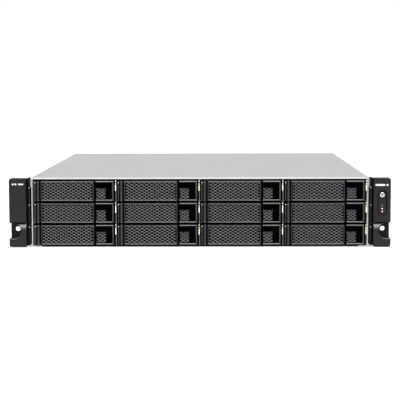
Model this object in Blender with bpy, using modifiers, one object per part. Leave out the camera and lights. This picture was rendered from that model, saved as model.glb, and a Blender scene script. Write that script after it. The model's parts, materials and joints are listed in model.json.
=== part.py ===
"""A 2U rack-mounted network storage unit with twelve hot-swap 3.5-inch drive trays.

Frame: X to the right seen from the front, Y to the rear, Z up, in metres. The origin is on the underside,
at the middle of the width, in the plane where the ears meet the rack posts.
"""

import math

import bmesh
import bpy
from mathutils import Matrix, Vector

# ---- The 19-inch rack -------------------------------------------------------------------------------
PANEL_WIDTH = 0.4826
RACK_HOLE_SPACING = 0.4651
RACK_HOLE_HEIGHT = 0.0218  # second hole of the lower unit, above the unit's underside
RACK_HOLE_RADIUS = 0.0030

# ---- Case -------------------------------------------------------------------------------------------
HEIGHT = 0.088
SHEET = 0.0012
GAP = 0.00035  # clearance between separate pieces
WALL_X = 0.2133  # outer face of the pan's side walls
COVER_X = 0.215  # outer face of the covers' side flanges
CASE_FRONT = -0.012
CASE_REAR = 0.516
PAN_BEND = 0.0020
FLOOR_NOTCH_X = 0.201  # half the width over which the floor is set back at the front
FLOOR_NOTCH_DEPTH = 0.010
COVER_SHEET = 0.001
COVER_FLANGE = 0.012
RAIL_PAD_X = 0.2156  # outer face of the pads that slide rails screw to
RAIL_PAD_Y = (0.096, 0.256, 0.456)
RAIL_PAD_Z = 0.040
RAIL_PAD_RADIUS = 0.008
FRONT_PLATE_DEPTH = 0.162
FRONT_LIP = 0.0021  # how far the front plate's lip hangs down
REAR_LIP = 0.0025  # how far the rear cover's lip hangs down

# ---- Drive bays -------------------------------------------------------------------------------------
COLUMNS = 4
ROWS = 3
BAY_PITCH_X = 0.1058
BAY_PITCH_Z = 0.0279
LOWEST_TRAY = 0.0024
TRAY_FRONT = -0.014
DIVIDER = 0.0010
DIVIDER_LEFT = 0.0007  # how far a divider's left face is left of the middle between two bays
CAGE_WALL = 0.0009
CAGE_INSET = 0.00075  # how far the cage's outer walls stand inside its bays' outer edges
BULKHEAD_Y = 0.157
LIP = 0.0016  # how far a tray's supporting lip stands out from its divider

# ---- Tray, in the tray's own frame: middle of its width, front face, underside -------------------------
TRAY_WIDTH = 0.1036
TRAY_HEIGHT = 0.0254
TRAY_LENGTH = 0.166
RAIL = 0.0009
BEZEL_FACE = 0.0045  # depth of the bezel's face behind the tray's front
BEZEL_BACK = 0.016
POST_X = (-0.0516, -0.0496)  # the upright beside the hinge
HINGE_X = -0.0463
HINGE_Y = 0.002
BARREL_RADIUS = 0.0016
PIVOT_RADIUS = 0.001
LUG = 0.0012
WINDOW_X = (-0.0405, 0.0228)  # the bezel's opening behind the handle
GRILLE_LEFT = -0.04265
GRILLE_RIGHT = 0.0247
POCKET_LEFT = 0.0270
POCKET_RIGHT = 0.04965
POCKET_FRAME = 0.0020
POCKET_DEPTH = 0.0135
SLOT_STARTS = [0.0031 + 0.0091 * i for i in range(7)]  # the handle's air slots, from its grille's left end
SLOT_WIDTH = 0.0062
LATCH_PLACE = (POCKET_LEFT + 0.0004, 0.0025, POCKET_FRAME + 0.0006)
LATCH_WIDTH = 0.0125
LATCH_HEIGHT = 0.0137
LATCH_DEPTH = 0.0105

# ---- Ears ---------------------------------------------------------------------------------------------
EAR_FRONT = -0.018
EAR_INNER = 0.2196
EAR_TOP = 0.0872
BRACKET = 0.002
BRACKET_EDGE = 0.2412
BRACKET_LEG = 0.056  # how far back the leg reaches along the side wall
LEG_TOP = 0.080  # the leg's height behind its front end
SCOOP_RADIUS = 0.0095
SCOOP_X = 0.2355
SCOOP_Z = RACK_HOLE_HEIGHT - 0.0016
BUTTON_X = 0.2304
BUTTON_Z = 0.0661
BUTTON_RADIUS = 0.0032

# ---- Inside -------------------------------------------------------------------------------------------
BACKPLANE_Y = 0.161
FAN_WALL_Y = 0.191
FAN_SIZE = 0.080
FAN_DEPTH = 0.038
FAN_BORE = 0.038
FAN_Z = 0.0438
FAN_X = (-0.110, 0.050)
BLADES = 7
BOARD_Z = 0.009
BOARD_TOP = BOARD_Z + 0.0016
PROCESSOR_HEIGHT = 0.004
MEMORY_SOCKET_HEIGHT = 0.008
FINS = 14
BOARD_LEFT = -0.165
BOARD_RIGHT = 0.095
BOARD_FRONT = 0.256
STANDOFF_X = (-0.158, -0.040, 0.088)
STANDOFF_Y = (BOARD_FRONT + 0.007, BOARD_FRONT + 0.230)
PSU_WIDTH = 0.0735
PSU_HEIGHT = 0.0395
PSU_LENGTH = 0.190
PSU_X = 0.1695
PSU_Z = (0.0030, 0.0455)
SHELF_Z = 0.0434
PSU_CAGE_FRONT = 0.316
LEVER_X = 0.0315  # the release lever's hinge, from the middle of the supply
VENT = 0.006  # width of an air slot in the back wall


def clear_scene():
    """Removes whatever the file already holds."""
    for obj in list(bpy.data.objects):
        bpy.data.objects.remove(obj)


# ---- Shapes -------------------------------------------------------------------------------------------


def new_object(name, mesh):
    """A mesh object in the working collection."""
    obj = bpy.data.objects.new(name, mesh)
    bpy.context.scene.collection.objects.link(obj)
    return obj


def object_of(bm, name="shape"):
    """Turns a bmesh into an object and frees the bmesh."""
    mesh = bpy.data.meshes.new(name)
    bm.to_mesh(mesh)
    bm.free()
    return new_object(name, mesh)


def box(low, high):
    """A box between two corners."""
    low, high = Vector(low), Vector(high)
    size = high - low
    bm = bmesh.new()
    place = Matrix.Translation((low + high) / 2) @ Matrix.Diagonal((*size, 1))
    bmesh.ops.create_cube(bm, size=1, matrix=place)
    return object_of(bm)


TURNS = {
    "X": Matrix.Rotation(math.pi / 2, 4, "Y"),
    "Y": Matrix.Rotation(-math.pi / 2, 4, "X"),
    "Z": Matrix.Identity(4),
}


def cylinder(centre, radius, length, axis="Z", sides=16):
    """A closed cylinder about its centre."""
    bm = bmesh.new()
    bmesh.ops.create_cone(
        bm,
        cap_ends=True,
        segments=sides,
        radius1=radius,
        radius2=radius,
        depth=length,
        matrix=Matrix.Translation(centre) @ TURNS[axis],
    )
    return object_of(bm)


def arc(centre, radius, start, end, steps):
    """Points along an arc, angles in degrees."""
    turns = [math.radians(start + (end - start) * i / steps) for i in range(steps + 1)]
    return [(centre[0] + radius * math.cos(t), centre[1] + radius * math.sin(t)) for t in turns]


def rounded_outline(low, high, radius, steps=3):
    """A rectangle between two corners, with round corners."""
    points = []
    corners = ((high[0], low[1], -90), (high[0], high[1], 0), (low[0], high[1], 90), (low[0], low[1], 180))
    for x, y, start in corners:
        centre = (x + (radius if x == low[0] else -radius), y + (radius if y == low[1] else -radius))
        points += arc(centre, radius, start, start + 90, steps)
    return points


def plate(outline, low, high, axis="Z"):
    """A flat outline, as thick as low to high along an axis. About Y, the outline's points are x and z."""
    curve = bpy.data.curves.new("outline", "CURVE")
    curve.dimensions = "2D"
    curve.fill_mode = "BOTH"
    curve.extrude = (high - low) / 2
    spline = curve.splines.new("POLY")
    spline.points.add(len(outline) - 1)
    for point, (x, y) in zip(spline.points, outline):
        point.co = (x, y, 0, 1)
    spline.use_cyclic_u = True
    flat = new_object("outline", curve)
    graph = bpy.context.evaluated_depsgraph_get()
    mesh = bpy.data.meshes.new_from_object(flat.evaluated_get(graph))
    bpy.data.objects.remove(flat)
    bm = bmesh.new()
    bm.from_mesh(mesh)
    bmesh.ops.remove_doubles(bm, verts=bm.verts, dist=1e-6)
    middle = (low + high) / 2
    if axis == "Y":
        bm.transform(Matrix.Translation((0, middle, 0)) @ Matrix.Rotation(math.pi / 2, 4, "X"))
    else:
        bm.transform(Matrix.Translation((0, 0, middle)))
    bmesh.ops.recalc_face_normals(bm, faces=bm.faces)
    return object_of(bm)


def combine(base, others, operation):
    """Joins the other shapes to the base, or cuts them from it, and removes them."""
    if not others:
        return base
    helpers = bpy.data.collections.new("helpers")
    bpy.context.scene.collection.children.link(helpers)
    for other in others:
        bpy.context.scene.collection.objects.unlink(other)
        helpers.objects.link(other)
    boolean = base.modifiers.new("boolean", "BOOLEAN")
    boolean.operation = operation
    boolean.solver = "EXACT"
    boolean.operand_type = "COLLECTION"
    boolean.collection = helpers
    graph = bpy.context.evaluated_depsgraph_get()
    base_mesh = bpy.data.meshes.new_from_object(base.evaluated_get(graph))
    base.modifiers.clear()
    base.data = base_mesh
    for other in others:
        bpy.data.objects.remove(other)
    bpy.data.collections.remove(helpers)
    return base


def join(shapes):
    """One solid from shapes that overlap."""
    return combine(shapes[0], shapes[1:], "UNION")


def cut(base, cutters):
    """The base without the cutters."""
    return combine(base, cutters, "DIFFERENCE")


def tidy(shape):
    """The shape's mesh, with its coplanar faces merged. The shape itself is removed."""
    bm = bmesh.new()
    bm.from_mesh(shape.data)
    bmesh.ops.remove_doubles(bm, verts=bm.verts, dist=1e-6)
    bmesh.ops.dissolve_limit(bm, angle_limit=math.radians(0.5), verts=bm.verts, edges=bm.edges)
    mesh = bpy.data.meshes.new("tidy")
    bm.to_mesh(mesh)
    bm.free()
    bpy.data.objects.remove(shape)
    return mesh


# ---- Materials ----------------------------------------------------------------------------------------


def material(name, colour, roughness, metallic=0.0):
    """A Principled BSDF of one colour."""
    made = bpy.data.materials.new(name)
    made.use_nodes = True
    shader = made.node_tree.nodes["Principled BSDF"]
    shader.inputs["Base Color"].default_value = (*colour, 1)
    shader.inputs["Roughness"].default_value = roughness
    shader.inputs["Metallic"].default_value = metallic
    return made


def materials():
    """Every material of the unit, by name."""
    return {
        "galvanised": material("galvanised_sheet", (0.62, 0.62, 0.64), 0.38, 0.9),
        "silver": material("silver_painted_sheet", (0.66, 0.65, 0.67), 0.42, 0.6),
        "black_steel": material("black_painted_steel", (0.02, 0.02, 0.022), 0.45, 0.3),
        "tray_plastic": material("charcoal_plastic", (0.045, 0.042, 0.046), 0.5),
        "grille": material("charcoal_grille", (0.07, 0.065, 0.07), 0.45),
        "ear_plastic": material("ear_plastic", (0.04, 0.038, 0.042), 0.48),
        "button": material("satin_metal", (0.75, 0.75, 0.77), 0.3, 1.0),
        "board": material("board_green", (0.02, 0.09, 0.04), 0.5),
        "fan_plastic": material("fan_plastic", (0.018, 0.018, 0.02), 0.5),
        "aluminium": material("aluminium", (0.7, 0.7, 0.72), 0.35, 1.0),
        "lever_plastic": material("lever_plastic", (0.05, 0.25, 0.12), 0.45),
    }


# ---- Assembly -----------------------------------------------------------------------------------------


class Unit:
    """The collection and the root empty that hold every piece."""

    def __init__(self):
        self.collection = bpy.data.collections.new("rack_storage_unit")
        bpy.context.scene.collection.children.link(self.collection)
        self.root = bpy.data.objects.new("rack_storage_unit_origin", None)
        self.collection.objects.link(self.root)
        self.materials = materials()

    def add(self, name, mesh, finish, place=(0, 0, 0), parent=None):
        """Puts a piece in the unit, at a place in its parent's frame."""
        obj = bpy.data.objects.new(name, mesh)
        self.collection.objects.link(obj)
        obj.parent = parent or self.root
        obj.location = place
        mesh.materials.clear()
        mesh.materials.append(self.materials[finish])
        mesh.shade_smooth()
        mesh.set_sharp_from_angle(angle=math.radians(30))
        return obj


def bay_x(column):
    """The middle of a column, counted from the left."""
    return (column - (COLUMNS - 1) / 2) * BAY_PITCH_X


def tray_z(row):
    """The underside of a row's trays, counted from the top."""
    return LOWEST_TRAY + (ROWS - 1 - row) * BAY_PITCH_Z


# ---- Case parts ---------------------------------------------------------------------------------------


def folded_sheet(low, high, open_sides, sheet, bend=0.0015):
    """A box of sheet metal without the sides named in open_sides, its bends rounded."""
    shell = box(low, high)
    bm = bmesh.new()
    bm.from_mesh(shell.data)
    sides = {"-X": (0, -1), "+X": (0, 1), "-Y": (1, -1), "+Y": (1, 1), "-Z": (2, -1), "+Z": (2, 1)}
    gone = []
    for name in open_sides:
        axis, sign = sides[name]
        gone += [face for face in bm.faces if face.normal[axis] * sign > 0.9]
    bmesh.ops.delete(bm, geom=gone, context="FACES")
    bends = [edge for edge in bm.edges if not edge.is_boundary]
    bmesh.ops.bevel(bm, geom=bends, offset=bend, segments=2, affect="EDGES", profile=0.5)
    bm.to_mesh(shell.data)
    bm.free()
    solidify = shell.modifiers.new("sheet", "SOLIDIFY")
    solidify.thickness = sheet
    solidify.offset = -1
    solidify.use_even_offset = True
    graph = bpy.context.evaluated_depsgraph_get()
    shell.data = bpy.data.meshes.new_from_object(shell.evaluated_get(graph))
    shell.modifiers.clear()
    return shell


def chassis_pan():
    """The floor and both side walls, bent from one sheet, with the board's standoffs pressed in."""
    low = (-WALL_X, CASE_FRONT, 0)
    high = (WALL_X, CASE_REAR, HEIGHT - COVER_SHEET - GAP)
    sheet = folded_sheet(low, high, ("+Z", "-Y", "+Y"), SHEET, PAN_BEND)
    posts = [
        cylinder((x, y, (SHEET + BOARD_Z) / 2 - 0.0003), 0.003, BOARD_Z - SHEET, sides=8)
        for x in STANDOFF_X
        for y in STANDOFF_Y
    ]
    places = [(side, y) for side in (-1, 1) for y in RAIL_PAD_Y]
    depth = RAIL_PAD_X - WALL_X + SHEET / 2
    pads = [
        cylinder((side * (RAIL_PAD_X - depth / 2), y, RAIL_PAD_Z), RAIL_PAD_RADIUS, depth, "X", 20)
        for side, y in places
    ]
    cutters = [cylinder((side * WALL_X, y, RAIL_PAD_Z), 0.002, 0.01, "X", 8) for side, y in places]
    back = CASE_FRONT + FLOOR_NOTCH_DEPTH
    cutters.append(box((-FLOOR_NOTCH_X, CASE_FRONT - 0.002, -0.002), (FLOOR_NOTCH_X, back, 2 * SHEET)))
    return tidy(cut(join([sheet] + posts + pads), cutters))


def lip_trim(y, low_z, drop):
    """Cutters that leave a lip of the flange at y, as deep as drop, and make room for the pan's walls."""
    front, back, bottom = y - 0.003, y + 0.003, low_z - 0.001
    cutters = [box((-WALL_X + SHEET, front, bottom), (WALL_X - SHEET, back, HEIGHT - drop))]
    for side in (-1, 1):
        near, far = sorted((side * (WALL_X - SHEET - GAP), side * (WALL_X + GAP)))
        cutters.append(box((near, front, bottom), (far, back, HEIGHT - COVER_SHEET)))
    return join(cutters)


def front_top_plate():
    """The fixed plate over the drive bays, with a lip folded down over the opening's top edge."""
    low = (-COVER_X, CASE_FRONT, HEIGHT - COVER_FLANGE)
    high = (COVER_X, CASE_FRONT + FRONT_PLATE_DEPTH, HEIGHT)
    sheet = folded_sheet(low, high, ("-Z", "+Y"), COVER_SHEET)
    return tidy(cut(sheet, [lip_trim(CASE_FRONT, low[2], FRONT_LIP)]))


def rear_cover():
    """The cover over the electronics, with a lip over the back wall. It lifts off once its screws are out."""
    low = (-COVER_X, CASE_FRONT + FRONT_PLATE_DEPTH + 0.0005, HEIGHT - COVER_FLANGE)
    high = (COVER_X, CASE_REAR + COVER_SHEET + GAP, HEIGHT)
    sheet = folded_sheet(low, high, ("-Z", "-Y"), COVER_SHEET)
    return tidy(cut(sheet, [lip_trim(high[1], low[2], REAR_LIP)]))


def rear_panel():
    """The back wall, with openings for the supplies, the board's sockets, a network card and air."""
    inside = WALL_X - SHEET - GAP
    panel = box((-inside, CASE_REAR - SHEET, SHEET + GAP), (inside, CASE_REAR, HEIGHT - COVER_SHEET - GAP))
    front, back = CASE_REAR - 0.01, CASE_REAR + 0.01
    half = PSU_WIDTH / 2 + 0.001
    top = PSU_Z[1] + PSU_HEIGHT + 0.0006
    supplies = box((PSU_X - half, front, PSU_Z[0] - 0.0008), (PSU_X + half, back, top))
    sockets = box((-0.156, front, 0.0095), (-0.020, back, 0.0300))
    slots = [box((x, front, 0.048), (x + VENT, back, 0.080)) for x in (-0.150 + 0.011 * i for i in range(12))]
    slots += [box((x, front, 0.010), (x + VENT, back, 0.078)) for x in (-0.204 + 0.010 * i for i in range(4))]
    return tidy(cut(panel, [supplies, sockets] + slots))


def drive_cage():
    """Dividers, side plates and a rear bulkhead around the drive bays, welded into one piece."""
    low, high = SHEET + GAP, HEIGHT - FRONT_LIP - GAP
    half = COLUMNS / 2 * BAY_PITCH_X
    inner = half - CAGE_INSET
    outer = inner + CAGE_WALL
    bulkhead = box((-outer, BULKHEAD_Y, low), (outer, BULKHEAD_Y + SHEET, high))
    # Each wall is its face towards lower X, its thickness, its front edge, and its lips' reach to each side.
    walls = [(-outer, CAGE_WALL, CASE_FRONT + 0.006, 0, LIP), (inner, CAGE_WALL, CASE_FRONT, LIP, 0)]
    first = BAY_PITCH_X - half - DIVIDER_LEFT
    walls += [(first + i * BAY_PITCH_X, DIVIDER, CASE_FRONT, LIP, LIP) for i in range(COLUMNS - 1)]
    shapes = [bulkhead]
    for x, thickness, front, left, right in walls:
        shapes.append(box((x, front, low), (x + thickness, BULKHEAD_Y + SHEET / 2, high)))
        for row in range(ROWS):
            top = tray_z(row) - GAP
            bottom = max(top - 0.0008, low)
            near = (x - left, CASE_FRONT + 0.008, bottom)
            far = (x + thickness + right, BULKHEAD_Y + SHEET / 2, top)
            shapes.append(box(near, far))
    windows = [
        box(
            (bay_x(column) - 0.046, BULKHEAD_Y - 0.002, tray_z(row) + 0.002),
            (bay_x(column) + 0.046, BULKHEAD_Y + 0.004, tray_z(row) + 0.024),
        )
        for column in range(COLUMNS)
        for row in range(ROWS)
    ]
    return tidy(cut(join(shapes), windows))


# ---- Tray parts ---------------------------------------------------------------------------------------


def tray():
    """A drive carrier: a bezel with a finger pocket and hinge lugs, two rails and three floor straps."""
    half = TRAY_WIDTH / 2
    bezel = box((-half, BEZEL_FACE, 0), (half, BEZEL_BACK, TRAY_HEIGHT))
    post = box((POST_X[0], 0.0004, 0), (POST_X[1], BEZEL_FACE + 0.001, TRAY_HEIGHT))
    frame = box((POCKET_LEFT, 0, 0), (POCKET_RIGHT, BEZEL_FACE + 0.001, TRAY_HEIGHT))
    lugs = [
        box((HINGE_X - 0.0021, 0, z), (HINGE_X + 0.0021, BEZEL_FACE + 0.001, z + LUG))
        for z in (0, TRAY_HEIGHT - LUG)
    ]
    rails = [
        box((x, BEZEL_BACK - 0.001, 0), (x + RAIL, TRAY_LENGTH, 0.024)) for x in (-half, half - RAIL)
    ]
    straps = [
        box((-half + RAIL / 2, y, 0), (half - RAIL / 2, y + 0.014, 0.0008)) for y in (0.050, 0.100, 0.152)
    ]
    body = join([bezel, post, frame] + lugs + rails + straps)
    window = box((WINDOW_X[0], -0.001, 0.004), (WINDOW_X[1], BEZEL_BACK + 0.001, TRAY_HEIGHT - 0.004))
    pocket = box(
        (POCKET_LEFT - 0.001, -0.001, POCKET_FRAME),
        (POCKET_RIGHT - POCKET_FRAME, POCKET_DEPTH, TRAY_HEIGHT - POCKET_FRAME),
    )
    middle = (HINGE_X, HINGE_Y, TRAY_HEIGHT / 2)
    pivot = cylinder(middle, PIVOT_RADIUS + 0.00015, TRAY_HEIGHT + 0.002, sides=8)
    return tidy(cut(body, [window, pocket, pivot]))


def tray_handle():
    """The vented lever over the tray's front, about its hinge axis. Stubs at both ends turn in the lugs."""
    height = TRAY_HEIGHT
    left, right = GRILLE_LEFT - HINGE_X, GRILLE_RIGHT - HINGE_X
    front, back = -HINGE_Y, 0.0032 - HINGE_Y
    grille = box((left, front, 0), (right, back, height))
    web_low, web_high = LUG + 0.0004, height - LUG - 0.0004
    barrel = cylinder((0, 0, height / 2), BARREL_RADIUS, web_high - web_low, sides=12)
    web = box((0, -0.0002, web_low), (left + 0.001, back, web_high))
    stub = cylinder((0, 0, height / 2), PIVOT_RADIUS, height - 0.0006, sides=8)
    body = join([grille, web, barrel, stub])
    slots = [
        box((left + x, -0.01, 0.0035), (left + x + SLOT_WIDTH, 0.01, height - 0.0035)) for x in SLOT_STARTS
    ]
    return tidy(cut(body, slots))


def tray_latch():
    """The release button in the tray's pocket. It slides to the right to free the handle."""
    button = box((0, 0, 0), (LATCH_WIDTH, 0.006, LATCH_HEIGHT))
    grip = box((0.002, 0.0055, 0.003), (LATCH_WIDTH - 0.003, LATCH_DEPTH, LATCH_HEIGHT - 0.004))
    return tidy(join([button, grip]))


# ---- Ears ---------------------------------------------------------------------------------------------


def ear_bracket(side):
    """The steel flange that the rack screw holds, with a leg along the side wall, highest at its front."""
    inner = COVER_X + GAP
    low, high = sorted((side * (inner + BRACKET / 2), side * BRACKET_EDGE))
    flange = box((low, -BRACKET, 0.0004), (high, 0, EAR_TOP - 0.0004))
    low, high = sorted((side * inner, side * (inner + BRACKET)))
    leg = box((low, CASE_FRONT + 0.001, 0.002), (high, BRACKET_LEG, LEG_TOP))
    nose = box((low, CASE_FRONT + 0.001, LEG_TOP - 0.001), (high, -BRACKET / 2, HEIGHT))
    hole = cylinder((side * RACK_HOLE_SPACING / 2, 0, RACK_HOLE_HEIGHT), RACK_HOLE_RADIUS, 0.01, "Y", 16)
    return tidy(cut(join([flange, leg, nose]), [hole]))


def ear_bezel(side):
    """The moulded cover over a bracket, hollow behind, with a scoop around the rack screw."""
    edge = PANEL_WIDTH / 2
    back = -BRACKET - GAP
    low, high = sorted((side * EAR_INNER, side * edge))
    block = plate(rounded_outline((low, 0.0002), (high, EAR_TOP), 0.0025), EAR_FRONT, back, "Y")
    bay = arc((SCOOP_X, SCOOP_Z), SCOOP_RADIUS, 90, 270, 12)
    bay += [(edge + 0.005, SCOOP_Z - SCOOP_RADIUS), (edge + 0.005, SCOOP_Z + SCOOP_RADIUS)]
    scoop = plate([(side * x, z) for x, z in bay], EAR_FRONT - 0.004, back + 0.004, "Y")
    wall = 0.002
    upper = box((low + wall, EAR_FRONT + wall, 0.033), (high - wall, back + 0.004, EAR_TOP - wall))
    lower = box((low + wall, EAR_FRONT + wall, wall), (high - wall, back + 0.004, 0.0085))
    cutters = [scoop, upper, lower]
    if side > 0:
        half = 0.0054
        pill = arc((BUTTON_X, BUTTON_Z), half, 0, 180, 6) + arc((BUTTON_X, 0.0453), half, 180, 360, 6)
        cutters.append(plate(pill, EAR_FRONT - 0.001, EAR_FRONT + 0.0008, "Y"))
        cutters.append(cylinder((BUTTON_X, EAR_FRONT, BUTTON_Z), BUTTON_RADIUS + 0.0002, 0.008, "Y", 16))
    return tidy(cut(block, cutters))


def power_button():
    """A round push button with a wider foot behind the bezel."""
    cap = cylinder((0, 0.0015, 0), BUTTON_RADIUS, 0.0036, "Y", 16)
    foot = cylinder((0, 0.0041, 0), BUTTON_RADIUS + 0.0008, 0.0018, "Y", 16)
    return tidy(join([cap, foot]))


# ---- Inside -------------------------------------------------------------------------------------------


def backplane_board():
    """The circuit board behind the drives, with a connector and an air opening for each bay."""
    board = box((-0.205, BACKPLANE_Y, 0.004), (0.205, BACKPLANE_Y + 0.002, 0.0845))
    places = [(bay_x(c), tray_z(r)) for c in range(COLUMNS) for r in range(ROWS)]
    connectors = [
        box((x - 0.034, BULKHEAD_Y - 0.002, z + 0.0035), (x + 0.010, BACKPLANE_Y + 0.0005, z + 0.0095))
        for x, z in places
    ]
    air = [
        box((x - 0.040, BACKPLANE_Y - 0.002, z + 0.0125), (x + 0.040, BACKPLANE_Y + 0.004, z + 0.0235))
        for x, z in places
    ]
    return tidy(cut(join([board] + connectors), air))


def fan_wall():
    """The partition that carries both fans."""
    inside = WALL_X - SHEET - GAP
    wall = box((-inside, FAN_WALL_Y, SHEET + GAP), (inside, FAN_WALL_Y + SHEET, HEIGHT - 0.003))
    foot = box((-inside, FAN_WALL_Y - 0.010, SHEET + GAP), (inside, FAN_WALL_Y + 0.0005, 2 * SHEET + GAP))
    openings = [cylinder((x, FAN_WALL_Y, FAN_Z), FAN_BORE, 0.01, "Y", 24) for x in FAN_X]
    cable_pass = box((0.120, FAN_WALL_Y - 0.004, 0.020), (0.190, FAN_WALL_Y + 0.004, 0.070))
    return tidy(cut(join([wall, foot]), openings + [cable_pass]))


def fan_frame():
    """A square fan housing about its axis, with a motor seat on four struts at the back."""
    half = FAN_SIZE / 2
    frame = cut(
        plate(rounded_outline((-half, -half), (half, half), 0.004, 2), 0, FAN_DEPTH, "Y"),
        [cylinder((0, FAN_DEPTH / 2, 0), FAN_BORE, FAN_DEPTH + 0.004, "Y", 24)],
    )
    seat_y = FAN_DEPTH - 0.003
    seat = cylinder((0, seat_y + 0.0015, 0), 0.016, 0.003, "Y", 16)
    struts = [
        box((-0.0015, seat_y, -FAN_BORE - 0.001), (0.0015, FAN_DEPTH - 0.0004, FAN_BORE + 0.001)),
        box((-FAN_BORE - 0.001, seat_y, -0.0015), (FAN_BORE + 0.001, FAN_DEPTH - 0.0004, 0.0015)),
    ]
    bearing = cylinder((0, seat_y, 0), 0.0022, 0.02, "Y", 12)
    return tidy(cut(join([frame, seat] + struts), [bearing]))


def fan_rotor():
    """Hub, shaft and pitched blades, about the fan's axis."""
    hub = cylinder((0, 0.0185, 0), 0.0165, 0.030, "Y", 20)
    shaft = cylinder((0, 0.030, 0), 0.002, 0.014, "Y", 12)
    blades = []
    for i in range(BLADES):
        blade = box((-0.0006, 0.005, 0.015), (0.0006, 0.032, 0.0365))
        pitch = Matrix.Translation((0, 0.0185, 0)) @ Matrix.Rotation(math.radians(38), 4, "Z")
        spin = Matrix.Rotation(math.tau * i / BLADES, 4, "Y")
        blade.data.transform(spin @ pitch @ Matrix.Translation((0, -0.0185, 0)))
        blades.append(blade)
    return tidy(join([hub, shaft] + blades))


def motherboard():
    """The main board with its rear sockets, memory sockets, expansion slots and processor socket."""
    top = BOARD_TOP
    board = box((BOARD_LEFT, BOARD_FRONT, BOARD_Z), (BOARD_RIGHT, CASE_REAR - 0.006, top))
    seat = top - 0.0005
    sockets = [
        box((x, CASE_REAR - 0.026, seat), (x + width, CASE_REAR - 0.0004, top + height))
        for x, width, height in (
            (-0.152, 0.015, 0.016),
            (-0.134, 0.032, 0.0135),
            (-0.099, 0.032, 0.0135),
            (-0.064, 0.016, 0.0105),
            (-0.045, 0.016, 0.0105),
        )
    ]
    # Each block is its left face, front (from the board's front), right face, back and height.
    blocks = [(x, 0.050, x + 0.0065, 0.192, MEMORY_SOCKET_HEIGHT) for x in (0.000, 0.0105)]
    blocks += [(x, 0.120, x + 0.0075, 0.210, 0.011) for x in (0.036, 0.0563, 0.0766)]
    blocks.append((-0.095, 0.075, -0.050, 0.120, PROCESSOR_HEIGHT))
    blocks += [(-0.135, 0.030, -0.110, 0.055, 0.003), (0.040, 0.060, 0.062, 0.082, 0.003)]
    raised = [
        box((left, BOARD_FRONT + front, seat), (right, BOARD_FRONT + back, top + height))
        for left, front, right, back, height in blocks
    ]
    return tidy(join([board] + sockets + raised))


def cpu_heatsink():
    """A block of parallel fins over the processor, for air moving to the rear."""
    low = (-0.1125, BOARD_FRONT + 0.055, BOARD_TOP + PROCESSOR_HEIGHT + GAP)
    high = (-0.0325, BOARD_FRONT + 0.140, low[2] + 0.056)
    base = box(low, (high[0], high[1], low[2] + 0.006))
    pitch = (high[0] - low[0]) / (FINS - 0.75)
    fins = [
        box((x, low[1], low[2] + 0.004), (x + pitch / 4, high[1], high[2]))
        for x in (low[0] + i * pitch for i in range(FINS))
    ]
    return tidy(join([base] + fins))


def memory_module():
    """A memory module with chips on both faces, standing in the left memory socket."""
    base = BOARD_TOP + MEMORY_SOCKET_HEIGHT + GAP
    front = BOARD_FRONT + 0.0545
    card = box((0.0026, front, base), (0.0039, front + 0.133, base + 0.030))
    chips = [
        box((0.0016, y, base + 0.008), (0.0049, y + 0.011, base + 0.020))
        for y in (front + 0.0075 + 0.0155 * i for i in range(8))
    ]
    return tidy(join([card] + chips))


def psu_cage():
    """The wall and shelf that guide both power supplies."""
    wall_x = PSU_X - PSU_WIDTH / 2 - 0.0035
    rear = CASE_REAR - SHEET - GAP
    wall = box((wall_x, PSU_CAGE_FRONT, SHEET + GAP), (wall_x + SHEET, rear, HEIGHT - COVER_SHEET - 0.001))
    shelf = box((wall_x + SHEET / 2, PSU_CAGE_FRONT, SHELF_Z), (WALL_X - SHEET - GAP, rear, SHELF_Z + 0.001))
    return tidy(join([wall, shelf]))


def power_supply():
    """A supply module about its lower front middle: case, edge connector, inlet and pull handle."""
    half = PSU_WIDTH / 2
    body = box((-half, 0, 0), (half, PSU_LENGTH, PSU_HEIGHT))
    edge = box((-0.022, -0.010, 0.016), (0.022, 0.001, 0.0176))
    handle = [
        box((x, PSU_LENGTH - 0.001, z), (x + 0.003, PSU_LENGTH + 0.021, z + 0.016))
        for x, z in ((-0.006, 0.0117), (0.021, 0.0117))
    ]
    bar = box((-0.006, PSU_LENGTH + 0.018, 0.0117), (0.024, PSU_LENGTH + 0.021, 0.0277))
    inlet = box((-0.0345, PSU_LENGTH - 0.014, 0.009), (-0.0085, PSU_LENGTH + 0.002, 0.0305))
    notch = box((LEVER_X - 0.004, PSU_LENGTH - 0.004, 0.010), (half + 0.001, PSU_LENGTH + 0.002, 0.0295))
    return tidy(cut(join([body, edge, bar] + handle), [inlet, notch]))


def psu_lever():
    """The thumb lever that frees a supply, about its hinge. It swings towards the pull handle."""
    pivot = cylinder((0, 0, 0), 0.0016, 0.0185, "Z", 10)
    tab = box((-0.0011, 0, -0.0075), (0.0011, 0.0165, 0.0075))
    return tidy(join([pivot, tab]))


# ---- Building -----------------------------------------------------------------------------------------


def add_trays(unit):
    """Twelve trays, each with its handle and latch. The copies share one mesh of each kind."""
    meshes = tray(), tray_handle(), tray_latch()
    for row in range(ROWS):
        for column in range(COLUMNS):
            bay = f"r{row + 1}c{column + 1}"
            carrier = unit.add(
                f"tray_{bay}", meshes[0], "tray_plastic", (bay_x(column), TRAY_FRONT, tray_z(row))
            )
            unit.add(f"handle_{bay}", meshes[1], "grille", (HINGE_X, HINGE_Y, 0), carrier)
            unit.add(f"latch_{bay}", meshes[2], "grille", LATCH_PLACE, carrier)


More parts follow.
